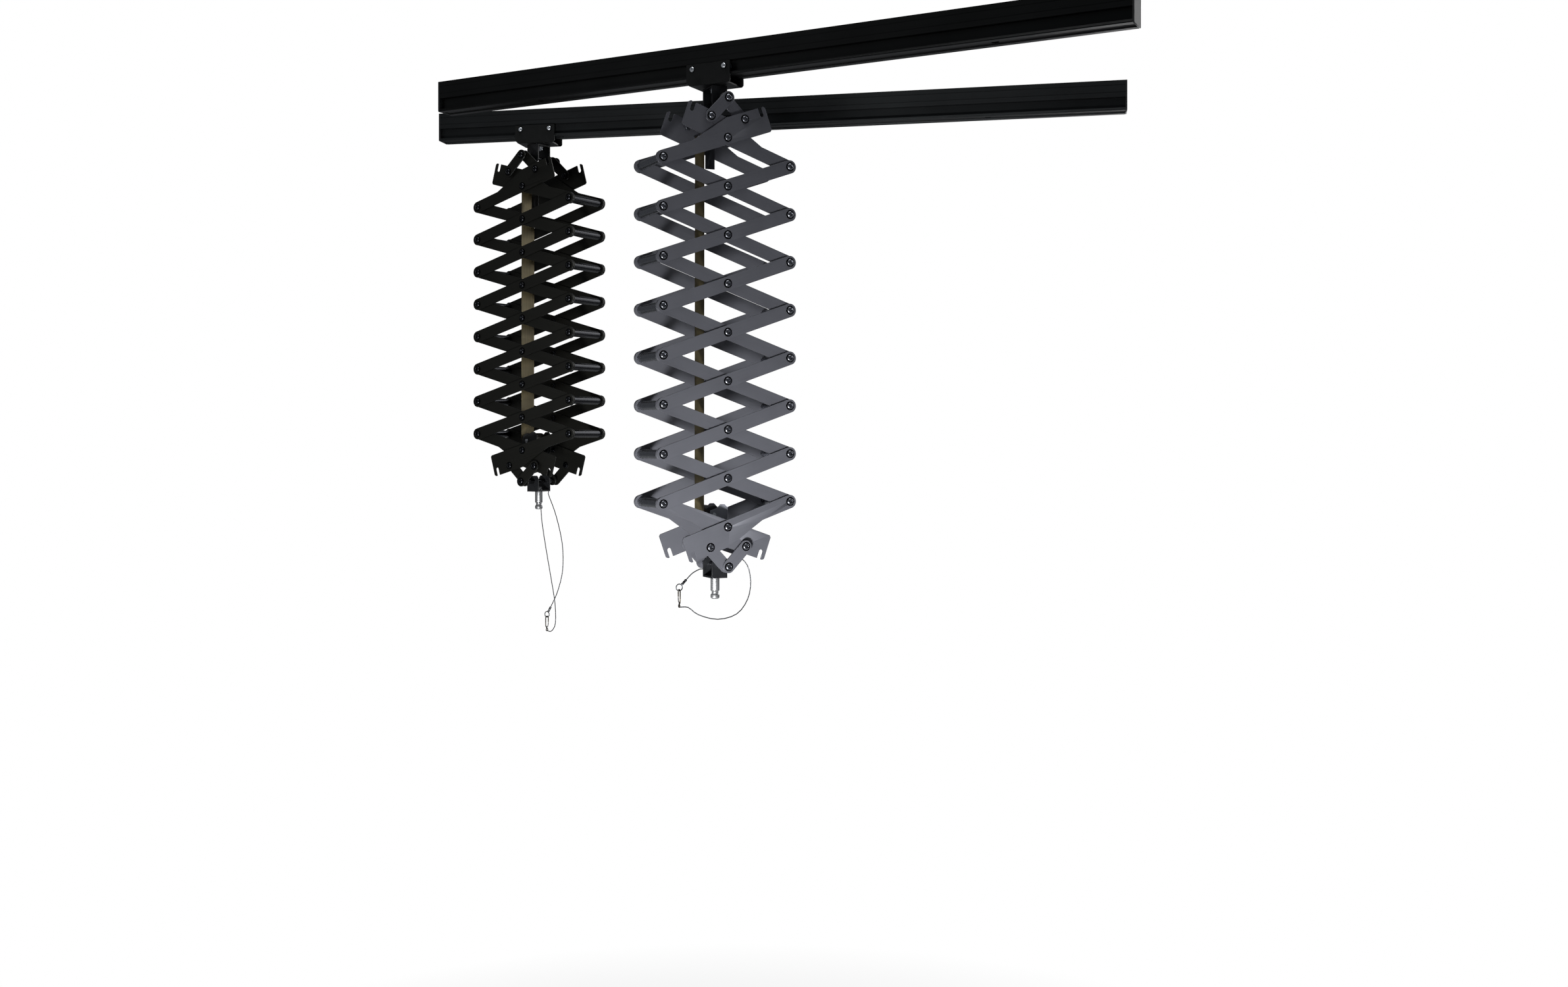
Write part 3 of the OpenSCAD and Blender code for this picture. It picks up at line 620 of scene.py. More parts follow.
def button_bolt_tree():
    """Domed head with a hexagon socket and a stem, on each point, lifted by its washer."""
    tree, given, out = new_tree(
        "button_bolt", head_diameter=0.014, head_height=0.003, socket_width=0.005,
        washer_thickness=0.0006, stem_diameter=0.008, stem_length=0.01)
    base, height = disc(tree, 24, maths(tree, given["Head Diameter"], 0.5)), given["Head Height"]
    dome = parts_of(tree, height, ((0.3, 1.0), (0.3, 0.93), (0.25, 0.82), (0.15, 0.76)))
    rim = maths(tree, given["Head Diameter"], 0.93 * 0.82 * 0.76)
    socket = maths(tree, given["Socket Width"], rim, "DIVIDE")
    mesh, top = column(tree, base, [*dome, (0.0, socket)])
    # The socket's round edge is pushed out to a hexagon, whose corners lie 60 degrees apart
    spot, angle = polar(tree)
    sixth = maths(tree, maths(tree, angle, math.pi / 3, "FLOORED_MODULO"), math.pi / 6, "SUBTRACT")
    reach = maths(tree, 1.0, maths(tree, sixth, 0, "COSINE"), "DIVIDE")
    mesh = pushed(tree, mesh, spot, reach, top)
    deep = column(tree, mesh, parts_of(tree, height, [(-0.85, 1.0)]), top)[0]
    head = moved(tree, closed(tree, deep, base), vector(tree, z=given["Washer Thickness"]))
    stem = rod(tree, 20, given["Stem Diameter"], given["Stem Length"], -0.5)
    return close_tree(tree, given, out, on_points(tree, given, both(tree, head, stem)))


def washer_tree():
    """A flat washer on each point."""
    tree, given, out = new_tree("washer", diameter=0.015, thickness=0.0006)
    plate = rod(tree, 28, given["Diameter"], given["Thickness"], 0.5)
    return close_tree(tree, given, out, on_points(tree, given, plate))


def lock_nut_tree():
    """Hexagon nut with a chamfered crown, a locking collar and its bolt's end, on each point."""
    tree, given, out = new_tree(
        "lock_nut", width=0.014, height=0.004, bolt_diameter=0.008, bolt_end=0.001)
    radius, height = maths(tree, given["Width"], 0.5), given["Height"]
    base = disc(tree, 6, radius)
    crown = column(tree, base, parts_of(tree, height, ((0.7, 1.0), (0.12, 0.86))))[0]
    nut = closed(tree, crown, base)
    ring = disc(tree, 20, maths(tree, radius, 0.74))
    collar = column(tree, ring, parts_of(tree, height, ((0.88, 1.0), (0.12, 0.9))))[0]
    end = disc(tree, 20, maths(tree, given["Bolt Diameter"], 0.5))
    tip = column(tree, end, [(maths(tree, height, given["Bolt End"], "ADD"), 0.85)])[0]
    return close_tree(tree, given, out, on_points(tree, given, both(tree, nut, collar, tip)))


def scissor_bar_tree():
    """Two flat bars with round ends and three bolt holes, on one layer of a scissor."""
    tree, given, out = new_tree("scissor_bar", length=0.26, width=0.024, thickness=0.003,
                                inner_face=0.048, hole=0.0083)
    outline = geo(tree, "CurvePrimitiveQuadrilateral", height=given["Width"],
                  width=maths(tree, given["Length"], given["Width"], "ADD"))
    outline = geo(tree, "FilletCurve", mode="POLY", curve=outline, count=12,
                  radius=maths(tree, given["Width"], 0.499))
    hole = hoop(tree, given["Hole"])
    ends = [moved(tree, hole, vector(tree, x=maths(tree, given["Length"], half)))
            for half in (0.5, -0.5)]
    face = geo(tree, "FillCurve", mode="NGONS", curve=both(tree, outline, hole, *ends))
    lifted = moved(tree, face, vector(tree, z=given["Inner Face"]))
    wall = geo(tree, "ExtrudeMesh", mesh=lifted, offset_scale=given["Thickness"], individual=False)
    bar = closed(tree, wall, lifted)
    pair = [moved(tree, bar, (0, 0, 0), (turn, 0, 0)) for turn in (math.pi / 2, -math.pi / 2)]
    return close_tree(tree, given, out, both(tree, *pair))


def wire_rope_tree():
    """Twisted strands along the input's edges."""
    tree, given, out = new_tree("wire_rope", diameter=0.002, lay_length=0.014, strands=6,
                                step=0.0009)
    line = geo(tree, "MeshToCurve", mesh=given["Geometry"])
    line = geo(tree, "ResampleCurve", mode="LENGTH", curve=line, length=given["Step"])
    run = add(tree, "GeometryNodeSplineParameter").outputs["Length"]
    twist = maths(tree, maths(tree, run, given["Lay Length"], "DIVIDE"), 2 * math.pi)
    line = geo(tree, "SetCurveTilt", curve=line, tilt=twist)
    spot, angle = polar(tree)
    wave = maths(tree, maths(tree, angle, given["Strands"]), 0, "COSINE")
    lobe = maths(tree, maths(tree, wave, 0.09), 0.91, "ADD")
    ring = pushed(tree, hoop(tree, given["Diameter"]), spot, lobe)
    rope = geo(tree, "CurveToMesh", curve=line, profile_curve=ring, fill_caps=True)
    return close_tree(tree, given, out, rope)


def wound_band_tree():
    """A flat strip wound in a spiral about the y axis."""
    tree, given, out = new_tree("wound_band", outer_radius=0.017, core_radius=0.0065, turns=8.0,
                                strip_width=0.042, strip_thickness=0.0008)
    half = maths(tree, given["Strip Thickness"], 0.5)
    line = geo(tree, "CurveSpiral", resolution=40, rotations=given["Turns"], height=0.0,
               start_radius=maths(tree, given["Core Radius"], half, "ADD"),
               end_radius=maths(tree, given["Outer Radius"], half, "SUBTRACT"))
    line = geo(tree, "SetCurveNormal", mode="Z_UP", curve=line)
    strip = geo(tree, "CurvePrimitiveQuadrilateral", width=given["Strip Thickness"],
                height=given["Strip Width"])
    wound = geo(tree, "CurveToMesh", curve=line, profile_curve=strip, fill_caps=True)
    return close_tree(tree, given, out, moved(tree, wound, (0, 0, 0), (math.pi / 2, 0, 0)))


TREES = {}


def grown(make, seed, name, **sizes):
    """The plain mesh that a tree makes from a seed mesh, with its inputs set by identifier."""
    if make not in TREES:
        TREES[make] = make()
    tree = TREES[make]
    worker = link(bpy.data.objects.new("seed", seed))
    modifier = worker.modifiers.new("grow", "NODES")
    modifier.node_group = tree
    keys = {s.name: s.identifier for s in tree.interface.items_tree if s.in_out == "INPUT"}
    for label, value in sizes.items():
        modifier[keys[titled(label)]] = value
    modifier[keys["Material"]] = finish(name)
    mesh = evaluated(worker)
    bpy.data.meshes.remove(seed)
    if not mesh.polygons:
        raise RuntimeError(f"the {tree.name} tree made no faces")
    return mesh


def points_mesh(spots):
    """Loose points with an aim, from place and direction pairs."""
    mesh = bpy.data.meshes.new("points")
    mesh.from_pydata([p for p, _ in spots], [], [])
    aim = mesh.attributes.new("aim", "FLOAT_VECTOR", "POINT")
    aim.data.foreach_set("vector", [x for _, d in spots for x in d])
    return mesh


def line_mesh(points, ring=False):
    mesh = bpy.data.meshes.new("line")
    edges = [(k, k + 1) for k in range(len(points) - 1)]
    mesh.from_pydata(points, edges + ([(len(points) - 1, 0)] if ring else []), [])
    return mesh


def both_faces(place, spots, outwards=1):
    """Place and direction pairs for along, up and depth places of a frame, on both its sides."""
    return [(place @ Vector((x, s * y, z)),
             (place.to_3x3() @ Vector((0, s * outwards, 0))).normalized())
            for x, z, y in spots for s in (-1, 1)]


def bolts_at(found, name, head, height, socket, washer, stem):
    """Button bolts on black washers at place and direction pairs."""
    thick = bpy.context.scene.rail_sizes.washer_thickness
    heads = grown(button_bolt_tree, points_mesh(found), name, head_diameter=head,
                  head_height=height, socket_width=socket, washer_thickness=thick,
                  stem_diameter=2 * PIN_R, stem_length=stem)
    # The washers' dark ring round each head is partly their own black and partly painted shadow
    rings = grown(washer_tree, points_mesh(found), "washer", diameter=washer, thickness=thick)
    return joined([heads, rings])


def fasteners(place, side, spots, stem):
    """Pivot bolts at along, up and depth places of a frame, on both its sides."""
    sizes = bpy.context.scene.rail_sizes
    return bolts_at(both_faces(place, spots), f"{side}_bolt", sizes.head_diameter,
                    sizes.head_height, sizes.socket_width, sizes.washer_diameter, stem)


def nuts(place, side, spots):
    """Lock nuts at along, up and depth places of a frame, on both its sides, facing inwards."""
    return grown(lock_nut_tree, points_mesh(both_faces(place, spots, -1)), f"{side}_bolt",
                 width=NUT_W, height=NUT_H, bolt_diameter=2 * PIN_R, bolt_end=BOLT_END)


# Settings
def measure(label, description, default):
    return bpy.props.FloatProperty(
        name=label, description=description, default=default, unit="LENGTH")


def colour(label, description, hex_value):
    return bpy.props.FloatVectorProperty(
        name=label, description=description, default=linear(hex_value), subtype="COLOR", size=3,
        min=0, max=1)


class RailSizes(bpy.types.PropertyGroup):
    """Sizes of the fasteners, the edges and the ropes"""
    head_diameter: measure("Bolt head", "Diameter of a pivot bolt's head", 0.012)
    head_height: measure("Head height", "Height of a pivot bolt's head", 0.003)
    socket_width: measure("Socket", "Width across the flats of a bolt's socket", 0.006)
    # The washer's width also sets how wide the ring of painted shadow round a head is
    washer_diameter: measure("Washer", "Diameter of the washer under a bolt head", 0.0156)
    washer_thickness: measure("Washer thickness", "Thickness of that washer", 0.0006)
    edge: measure("Edge break", "Width of the broken edge on the bars", 0.0005)
    rope_diameter: measure("Rope", "Diameter of the safety cable", 0.002)
    rope_lay: measure("Lay", "Length of one turn of the cable's strands", 0.012)


class RailFinishes(bpy.types.PropertyGroup):
    """Colours of the main finishes"""
    front_rail: colour("Front rail", "Black anodised front rail", "#1c1d1d")
    # The rear rail is given a paler black than the front rail
    rear_rail: colour("Rear rail", "Rear rail, its black a little faded", "#232526")
    carriage: colour("Carriage", "Black powder coat of the carriages", "#131414")
    bracket: colour("Bracket", "Black powder coat of hangers and stirrups", "#111214")
    front_arm: colour("Front arm", "Grey anodised bars of the front scissor", "#505157")
    # Darker than the front bars: painted shade lines along their edges
    front_edge: colour("Front edge", "Broken edges of the front bars", "#3f4045")
    rear_arm: colour("Rear arm", "Black anodised bars of the rear scissor", "#242421")
    # Lighter than the rear bars: a painted highlight along their edges
    rear_edge: colour("Rear edge", "Broken edges of the rear bars", "#2a2b2c")
    front_bolt: colour("Front bolt", "Satin steel of the front scissor's bolts", "#707278")
    rear_bolt: colour("Rear bolt", "Black oxide of the rear scissor's bolts", "#2a2b2e")
    zinc: colour("Zinc", "Bright zinc of axle screws and swivel bolts", "#c4c8cc")
    band: colour("Band", "Olive brown of the spring band", "#6a5f44")
    rope: colour("Rope", "Grey of the safety cable", "#55575a")


# Operators
class StageOperator(bpy.types.Operator):
    """Makes the camera, the pale floor and the soft light"""
    bl_idname = "ceiling_rail.stage"
    bl_label = "Stage"

    # The camera was fitted to the rails, the carriages and the ends of the scissors
    LENS_MM, SENSOR_MM, SHIFT = 34.97, 36, (0.0426, -0.0354)
    CAMERA_AT, CAMERA_TURN = (1.23904, -2.39572, -0.70182), (90, 0, 28.57)
    CAMERA_RANGE = 60
    FLOOR_AT, FLOOR_R = (-0.1, 0.2, -2.3), 9
    # Distances from the floor's middle where the camera's view of it starts and ends to whiten
    WHITE_FROM, WHITE_TO = 0.8, 1.9
    # Each lamp: name, place, aim, size, power and spread in degrees
    LAMPS = (
        ("low_light", (0.35, -1.7, -1.7), (-0.09, 0.0, -0.92), 0.35, 8, 46),
        ("side_light", (-1.6, -3.0, -0.3), (-0.2, 0.1, -0.5), 1.8, 6, 180),
        ("back_light", (0.6, 2.9, 0.2), (-0.2, 0.2, -0.5), 2.0, 42, 180),
        ("top_light", (0.3, -0.2, 2.3), FLOOR_AT, 2.2, 50, 180),
    )
    WORLD_TINT, WORLD_LIGHT = (0.9, 0.93, 1.0, 1), 0.14

    def execute(self, context):
        camera = link(bpy.data.objects.new("camera", bpy.data.cameras.new("camera")))
        camera.data.lens, camera.data.sensor_width = self.LENS_MM, self.SENSOR_MM
        camera.data.shift_x, camera.data.shift_y = self.SHIFT
        camera.data.clip_end = self.CAMERA_RANGE
        camera.location = self.CAMERA_AT
        camera.rotation_euler = [math.radians(turn) for turn in self.CAMERA_TURN]
        context.scene.camera = camera

        bm = bmesh.new()
        bmesh.ops.create_circle(bm, cap_ends=True, segments=96, radius=self.FLOOR_R)
        mesh = ended(bm, "floor")
        mesh.transform(Matrix.Translation(self.FLOOR_AT))
        floor = put("floor", mesh)
        floor.data.materials.append(self.floor_paint())

        for name, place, aim, size, power, spread in self.LAMPS:
            lamp = bpy.data.lights.new(name, "AREA")
            lamp.shape, lamp.size, lamp.energy = "SQUARE", size, power
            lamp.spread = math.radians(spread)
            hung = link(bpy.data.objects.new(name, lamp))
            hung.location = place
            aim_line = Vector(aim) - Vector(place)
            hung.rotation_euler = aim_line.to_track_quat("-Z", "Y").to_euler()
        context.scene.world = self.studio_air()
        context.scene.view_settings.view_transform = "Standard"
        return {"FINISHED"}

    def floor_paint(self):
        # Pale matt paint: a soft shadow shows near the object, and it runs out to white. It
        # can't be seen from below.
        paint = Surface("pale_floor_paint", linear("#e9eaea"), roughness=0.9)
        tree = paint.tree
        distance = add(tree, "ShaderNodeVectorMath", {0: paint.place(), 1: self.FLOOR_AT},
                       operation="DISTANCE").outputs["Value"]
        far = add(tree, "ShaderNodeMapRange", value=distance, from_min=self.WHITE_FROM,
                  from_max=self.WHITE_TO, to_min=0.6).outputs[0]
        paint.shades(paint.patches(60, 3), 0.98, 1.02)
        seen = add(tree, "ShaderNodeLightPath").outputs["Is Camera Ray"]
        white = add(tree, "ShaderNodeEmission", strength=1.0)
        faded = mixed(tree, maths(tree, far, seen), paint.bsdf, white)
        under = add(tree, "ShaderNodeNewGeometry").outputs["Backfacing"]
        both_sides = mixed(tree, under, faded, add(tree, "ShaderNodeBsdfTransparent"))
        tree.links.new(both_sides.outputs[0], paint.out.inputs["Surface"])
        return paint.material

    def studio_air(self):
        # White to the camera, and a plain pale light to everything else
        world = bpy.data.worlds.new("studio_air")
        world.use_nodes = True
        tree = world.node_tree
        tree.nodes.clear()
        light = add(tree, "ShaderNodeBackground", color=self.WORLD_TINT, strength=self.WORLD_LIGHT)
        white = add(tree, "ShaderNodeBackground", color=(1, 1, 1, 1), strength=1.0)
        seen = add(tree, "ShaderNodeLightPath").outputs["Is Camera Ray"]
        air = mixed(tree, seen, light, white)
        add(tree, "ShaderNodeOutputWorld", surface=air.outputs[0])
        return world


def bend(p0, p1, p2, p3, t):
    return 0.5 * (2 * p1 + (p2 - p0) * t + (2 * p0 - 5 * p1 + 4 * p2 - p3) * t * t
                  + (3 * p1 - p0 - 3 * p2 + p3) * t * t * t)


def route(points, steps):
    """A smooth curve through the points, as the part's source draws it."""
    last = len(points) - 1
    found = [bend(points[max(k - 1, 0)], points[k], points[k + 1], points[min(k + 2, last)],
                  j / steps) for k in range(last) for j in range(steps)]
    return found + [points[last]]


def rod_along(points, radius, ring):
    """A round rod of the hook's metal bent along points."""
    line = bpy.data.curves.new("rod", "CURVE")
    line.dimensions, line.bevel_depth, line.bevel_resolution = "3D", radius, 4
    line.use_fill_caps = True
    spline = line.splines.new("POLY")
    spline.points.add(len(points) - 1)
    for spot, place in zip(spline.points, points):
        spot.co = (*place, 1)
    spline.use_cyclic_u = ring
    mesh = evaluated(link(bpy.data.objects.new("rod", line)))
    mesh.materials.clear()
    mesh.materials.append(finish("hook"))
    return mesh


class CablesOperator(bpy.types.Operator):
    """Makes the safety cables with their ferrules, eyes and snap hooks"""
    bl_idname = "ceiling_rail.cables"
    bl_label = "Safety cables"

    # A cable is drawn with about this many points
    ROUTE_POINTS = 26
    # The ferrule's pressed outline: share of its radius, and height in mm
    FERRULE = [(0, 0), (0.82, 0), (1, 0.8), (1, 2.4), (0.86, 3), (0.86, 4.6), (1, 5.2), (1, 6.8),
               (0.86, 7.4), (0.86, 9), (1, 9.6), (1, 11.2), (0.82, 12), (0, 12)]
    # The hook in mm from the lowest point of the cable's eye: where the rope ends on it, and the
    # gate's pin, as place and as radius and height pairs
    ROPE_END = (1.52, 0, HOOK_TOP_MM - HOOK_L_MM + 11 / 8)
    PIN_AT, PIN = (0, -1.6, -21.2), [(0, -1.5), (1.1, -1.5), (1.1, 1.5), (0, 1.5)]

    def execute(self, context):
        for side in SIDES:
            self.cable(context.scene.rail_sizes, side)
        return {"FINISHED"}

    def rope(self, sizes, points, ring=False):
        return grown(wire_rope_tree, line_mesh(points, ring), "rope",
                     diameter=sizes.rope_diameter, lay_length=sizes.rope_lay)

    def strand(self, sizes, side, kind, place, points, pieces):
        """A strand of wire rope along one route."""
        steps = max(3, round(self.ROUTE_POINTS / (len(points) - 1)))
        path = [place @ p for p in route(points, steps)]
        rope = put(f"{side}_{kind}_rope", self.rope(sizes, path))
        for piece in (rope, *pieces):
            stand_in(piece, f"{side}_safety_cable", f"{side}_stirrup")

    def cable(self, sizes, side):
        place = place_of(side) @ Matrix.Translation((0, CABLE_DEPTH, foot_z(side) - STIRRUP_H))
        down = [Vector(p) * MM for p in EYED[side]]
        before, end = route(down, 3)[-2:]
        along = (end - before).normalized()
        ring = end + (FERRULE_L + 2 * SEAT_GAP + EYE_R + sizes.rope_diameter / 2) * along
        hook_at = ring - Vector((0, 0, EYE_R))
        up = [Vector(p) * MM for p in HOOKED[side]] + [hook_at + Vector(self.ROPE_END) * MM]
        eye = self.eye(sizes, side, place, end, along, ring)
        self.strand(sizes, side, "eyed", place, down, [eye])
        hook = self.hook(side, place @ Matrix.Translation(hook_at))
        self.strand(sizes, side, "hooked", place, up, [hook])

    def eye(self, sizes, side, place, start, along, ring):
        """The pressed ferrule and the rope's own eye beyond it."""
        turn = along.to_track_quat("Z", "Y").to_matrix().to_4x4()
        sleeve = turned([(FERRULE_R * share, h * MM) for share, h in self.FERRULE],
                        place @ Matrix.Translation(start + SEAT_GAP * along) @ turn, "ferrule", 24)
        loop = [place @ (ring + Vector((x, 0, z))) for x, z in circle(48, EYE_R)]
        return put(f"{side}_cable_eye", joined([sleeve, self.rope(sizes, loop, True)]))

    def hook(self, side, place):
        """A snap hook of bent wire, with a sprung gate, a pin and its own small eye."""
        wire, half, eye = 1.1, 4.4, 2.6
        bow_z = HOOK_TOP_MM - wire - half
        eye_z = HOOK_TOP_MM - HOOK_L_MM + wire + eye
        bow = [(half * math.cos(t), bow_z + half * math.sin(t))
               for t in (math.pi * k / 14 for k in range(15))]
        rods = (
            (wire, [(half, -11), *bow, (-half, -8), (-half, -16), (-3.2, -20)], False),
            (0.8, [(half, -11.6), (half - 0.2, -15), (3.2, -19.6), (0, -21.4)], False),
            (1.3, [(-3.2, -20), (-1, -22.6), (0, -24), (0, eye_z + 2.8)], False),
            (1, [(y, eye_z - z) for z, y in circle(20, eye)], True),
        )
        parts = [rod_along([place @ Vector((0, y * MM, z * MM)) for y, z in line],
                           radius * MM, ring) for radius, line, ring in rods]
        pin = (place @ Matrix.Translation(Vector(self.PIN_AT) * MM)
               @ Matrix.Rotation(math.pi / 2, 4, "Y"))
        parts.append(turned([(r * MM, h * MM) for r, h in self.PIN], pin, "hook", 16))
        return put(f"{side}_snap_hook", joined(parts))


class RailsOperator(bpy.types.Operator):
    """Dresses the two ceiling rails and their end caps"""
    bl_idname = "ceiling_rail.rails"
    bl_label = "Rails"

    def execute(self, context):
        for side in SIDES:
            def sort(low, high, core):
                # The extrusion is the one long solid, and the others are caps
                return 0 if high.x - low.x > 500 * MM else 1
            place = RAIL_PLACE[side]
            mesh = cad_copy(f"{side}_rail", place, sort, [f"{side}_rail", "cap"])
            piece = put(f"{side}_rail_extrusion", mesh, place)
            stand_in(piece, f"{side}_rail", "rails")
        return {"FINISHED"}


class CarriagesOperator(bpy.types.Operator):
    """Dresses the carriages with their axle screws and swivel bolts, and their rollers"""
    bl_idname = "ceiling_rail.carriages"
    bl_label = "Carriages"

    # An axle screw's head, head height, socket, washer and stem
    AXLE_SCREW = (9.5 * MM, 2.3 * MM, 3 * MM, 12 * MM, 13 * MM)

    def execute(self, context):
        for side in SIDES:
            place = RAIL_PLACE[side] @ Matrix.Translation((CARRIAGE_X[side], 0, 0))

            def sort(low, high, core):
                # The plates are long, the swivel bolt and its nut are in the middle, and the axle
                # screws on the sides are made anew
                if high.x - low.x > 60 * MM:
                    return 0
                return None if abs((low.y + high.y) / 2) > 10 * MM else 1
            body = cad_copy(f"{side}_carriage", place, sort, ["carriage", "zinc"],
                            bevel=FOLDED_EDGE)
            spots = both_faces(place, [(x, AXLE_Z, AXLE_HEAD_Y)
                                       for x in (-AXLE_PITCH / 2, AXLE_PITCH / 2)])
            screws = bolts_at(spots, "zinc", *self.AXLE_SCREW)
            piece = put(f"{side}_carriage_plate", joined([body, screws]), place)
            stand_in(piece, f"{side}_carriage", f"{side}_carriage")
            for end in ("left", "right"):
                node = f"{side}_rollers_{end}"
                wheels = put(f"{node}_wheels", cad_copy(node, place, keep_all, ["roller"]), place)
                stand_in(wheels, node, node)
        return {"FINISHED"}


class BracketsOperator(bpy.types.Operator):
    """Dresses the hangers and stirrups with their pivot bolts, spacer tubes and studs"""
    bl_idname = "ceiling_rail.brackets"
    bl_label = "Hangers and stirrups"

    def execute(self, context):
        def sort(low, high, core):
            # The stud, its bolt and its nut are in the middle, the bracket's plates are wide, and
            # of the rest only the rings are kept
            if max(abs(low.y), abs(high.y)) < 12 * MM:
                return 2
            return 0 if high.x - low.x > 25 * MM else ring_only(core)
        for side in SIDES:
            for body, height in (("hanger", APEX_Z), ("stirrup", foot_z(side))):
                node, place = f"{side}_{body}", place_of(side, height)
                mesh = cad_copy(node, place, sort, ["bracket", f"{side}_bolt", "stud"],
                                bevel=FOLDED_EDGE)
                bolts = fasteners(place, side, [(0, 0, LINK_BOLT_Y)], LINK_BOLT_Y)
                piece = put(f"{node}_bracket", joined([mesh, bolts]), place)
                stand_in(piece, node, node)
        return {"FINISHED"}


class ArmsOperator(bpy.types.Operator):
    """Makes the scissor arms with their bolts, nuts and spacer tubes, and the end links"""
    bl_idname = "ceiling_rail.arms"
    bl_label = "Scissor arms"

    def execute(self, context):
        for side in SIDES:
            for i in range(1, PAIRS + 1):
                for layer in "ab":
                    self.arm(context.scene.rail_sizes, side, layer, i)
            for end in ("top_left", "top_right", "bottom_left", "bottom_right"):
                node = f"{side}_link_{end}"
                down = 1 if end.startswith("top") == end.endswith("right") else -1
                place = (place_of(side, APEX_Z if "top" in end else foot_z(side))
                         @ Matrix.Rotation(down * (OPEN[side] + LINK_LEAN), 4, "Y"))
                mesh = cad_copy(node, place, keep_all, [f"{side}_arm"], f"{side}_edge")
                stand_in(put(f"{node}_bar", mesh, place), node, node)
        return {"FINISHED"}

    def bar(self, sizes, side, inner):
        """A middle arm's two bars with broken edges, in the arm's own frame."""
        bar = grown(scissor_bar_tree, bpy.data.meshes.new("bar"), f"{side}_arm", length=ARM_L,
                    width=ARM_W, thickness=ARM_T, inner_face=inner)
        bar.materials.append(finish(f"{side}_edge"))
        bm = bmesh.new()
        bm.from_mesh(bar)
        break_edges(bm, sizes.edge, len(bar.materials) - 1)
        bm.to_mesh(bar)
        bm.free()
        return bar

    def arm(self, sizes, side, layer, i):
        node = f"{side}_arm_{layer}{i}"
        place = arm_place(side, layer, i)
        end_arm = i in (1, PAIRS)
        lean = OPEN[side] * (1 if layer == "b" else -1)
        straight = place_of(side, cross_z(side, i)) @ Matrix.Rotation(lean, 4, "Y")

        def sort(low, high, core):
            # The plates of the end arms are kept, and the bars of the others are made anew
            plate = max(high.x - low.x, high.z - low.z) > 50 * MM
            return (0 if end_arm else None) if plate else ring_only(core)
        parts = [cad_copy(node, place, sort, [f"{side}_arm", f"{side}_bolt"], f"{side}_edge",
                          sizes.edge)]
        if not end_arm:
            bar = self.bar(sizes, side, INNER_ARM if layer == "b" else OUTER_ARM)
            bar.transform(straight)
            parts.insert(0, bar)
        if layer == "a":
            stem = LONG_STEM if end_arm else SHORT_STEM
            parts.append(fasteners(place, side, [(0, 0, CROSS_BOLT_Y)], stem))
            if not end_arm:
                parts.append(nuts(place, side, [(0, 0, CROSS_NUT_Y)]))
        else:
            ends = [(-ARM_L / 2, 0, END_BOLT_Y), (ARM_L / 2, 0, END_BOLT_Y)]
            parts.append(fasteners(place, side, ends[:1] if end_arm else ends, LONG_STEM))
        if end_arm:
            # The plates of layer a hold the inner link, with the nut on the link. Those of layer b
            # hold the outer link, with the nut on the plate.
            bolt, nut = ((CROSS_BOLT_Y, LINK_NUT_Y) if layer == "a"
                         else (LINK_BOLT_Y, PLATE_NUT_Y))
            parts.append(fasteners(place, side, [(LINK_U, LINK_V, bolt)], SHORT_STEM))
            parts.append(nuts(place, side, [(LINK_U, LINK_V, nut)]))
        stand_in(put(f"{node}_bars", joined(parts), straight), node, node)


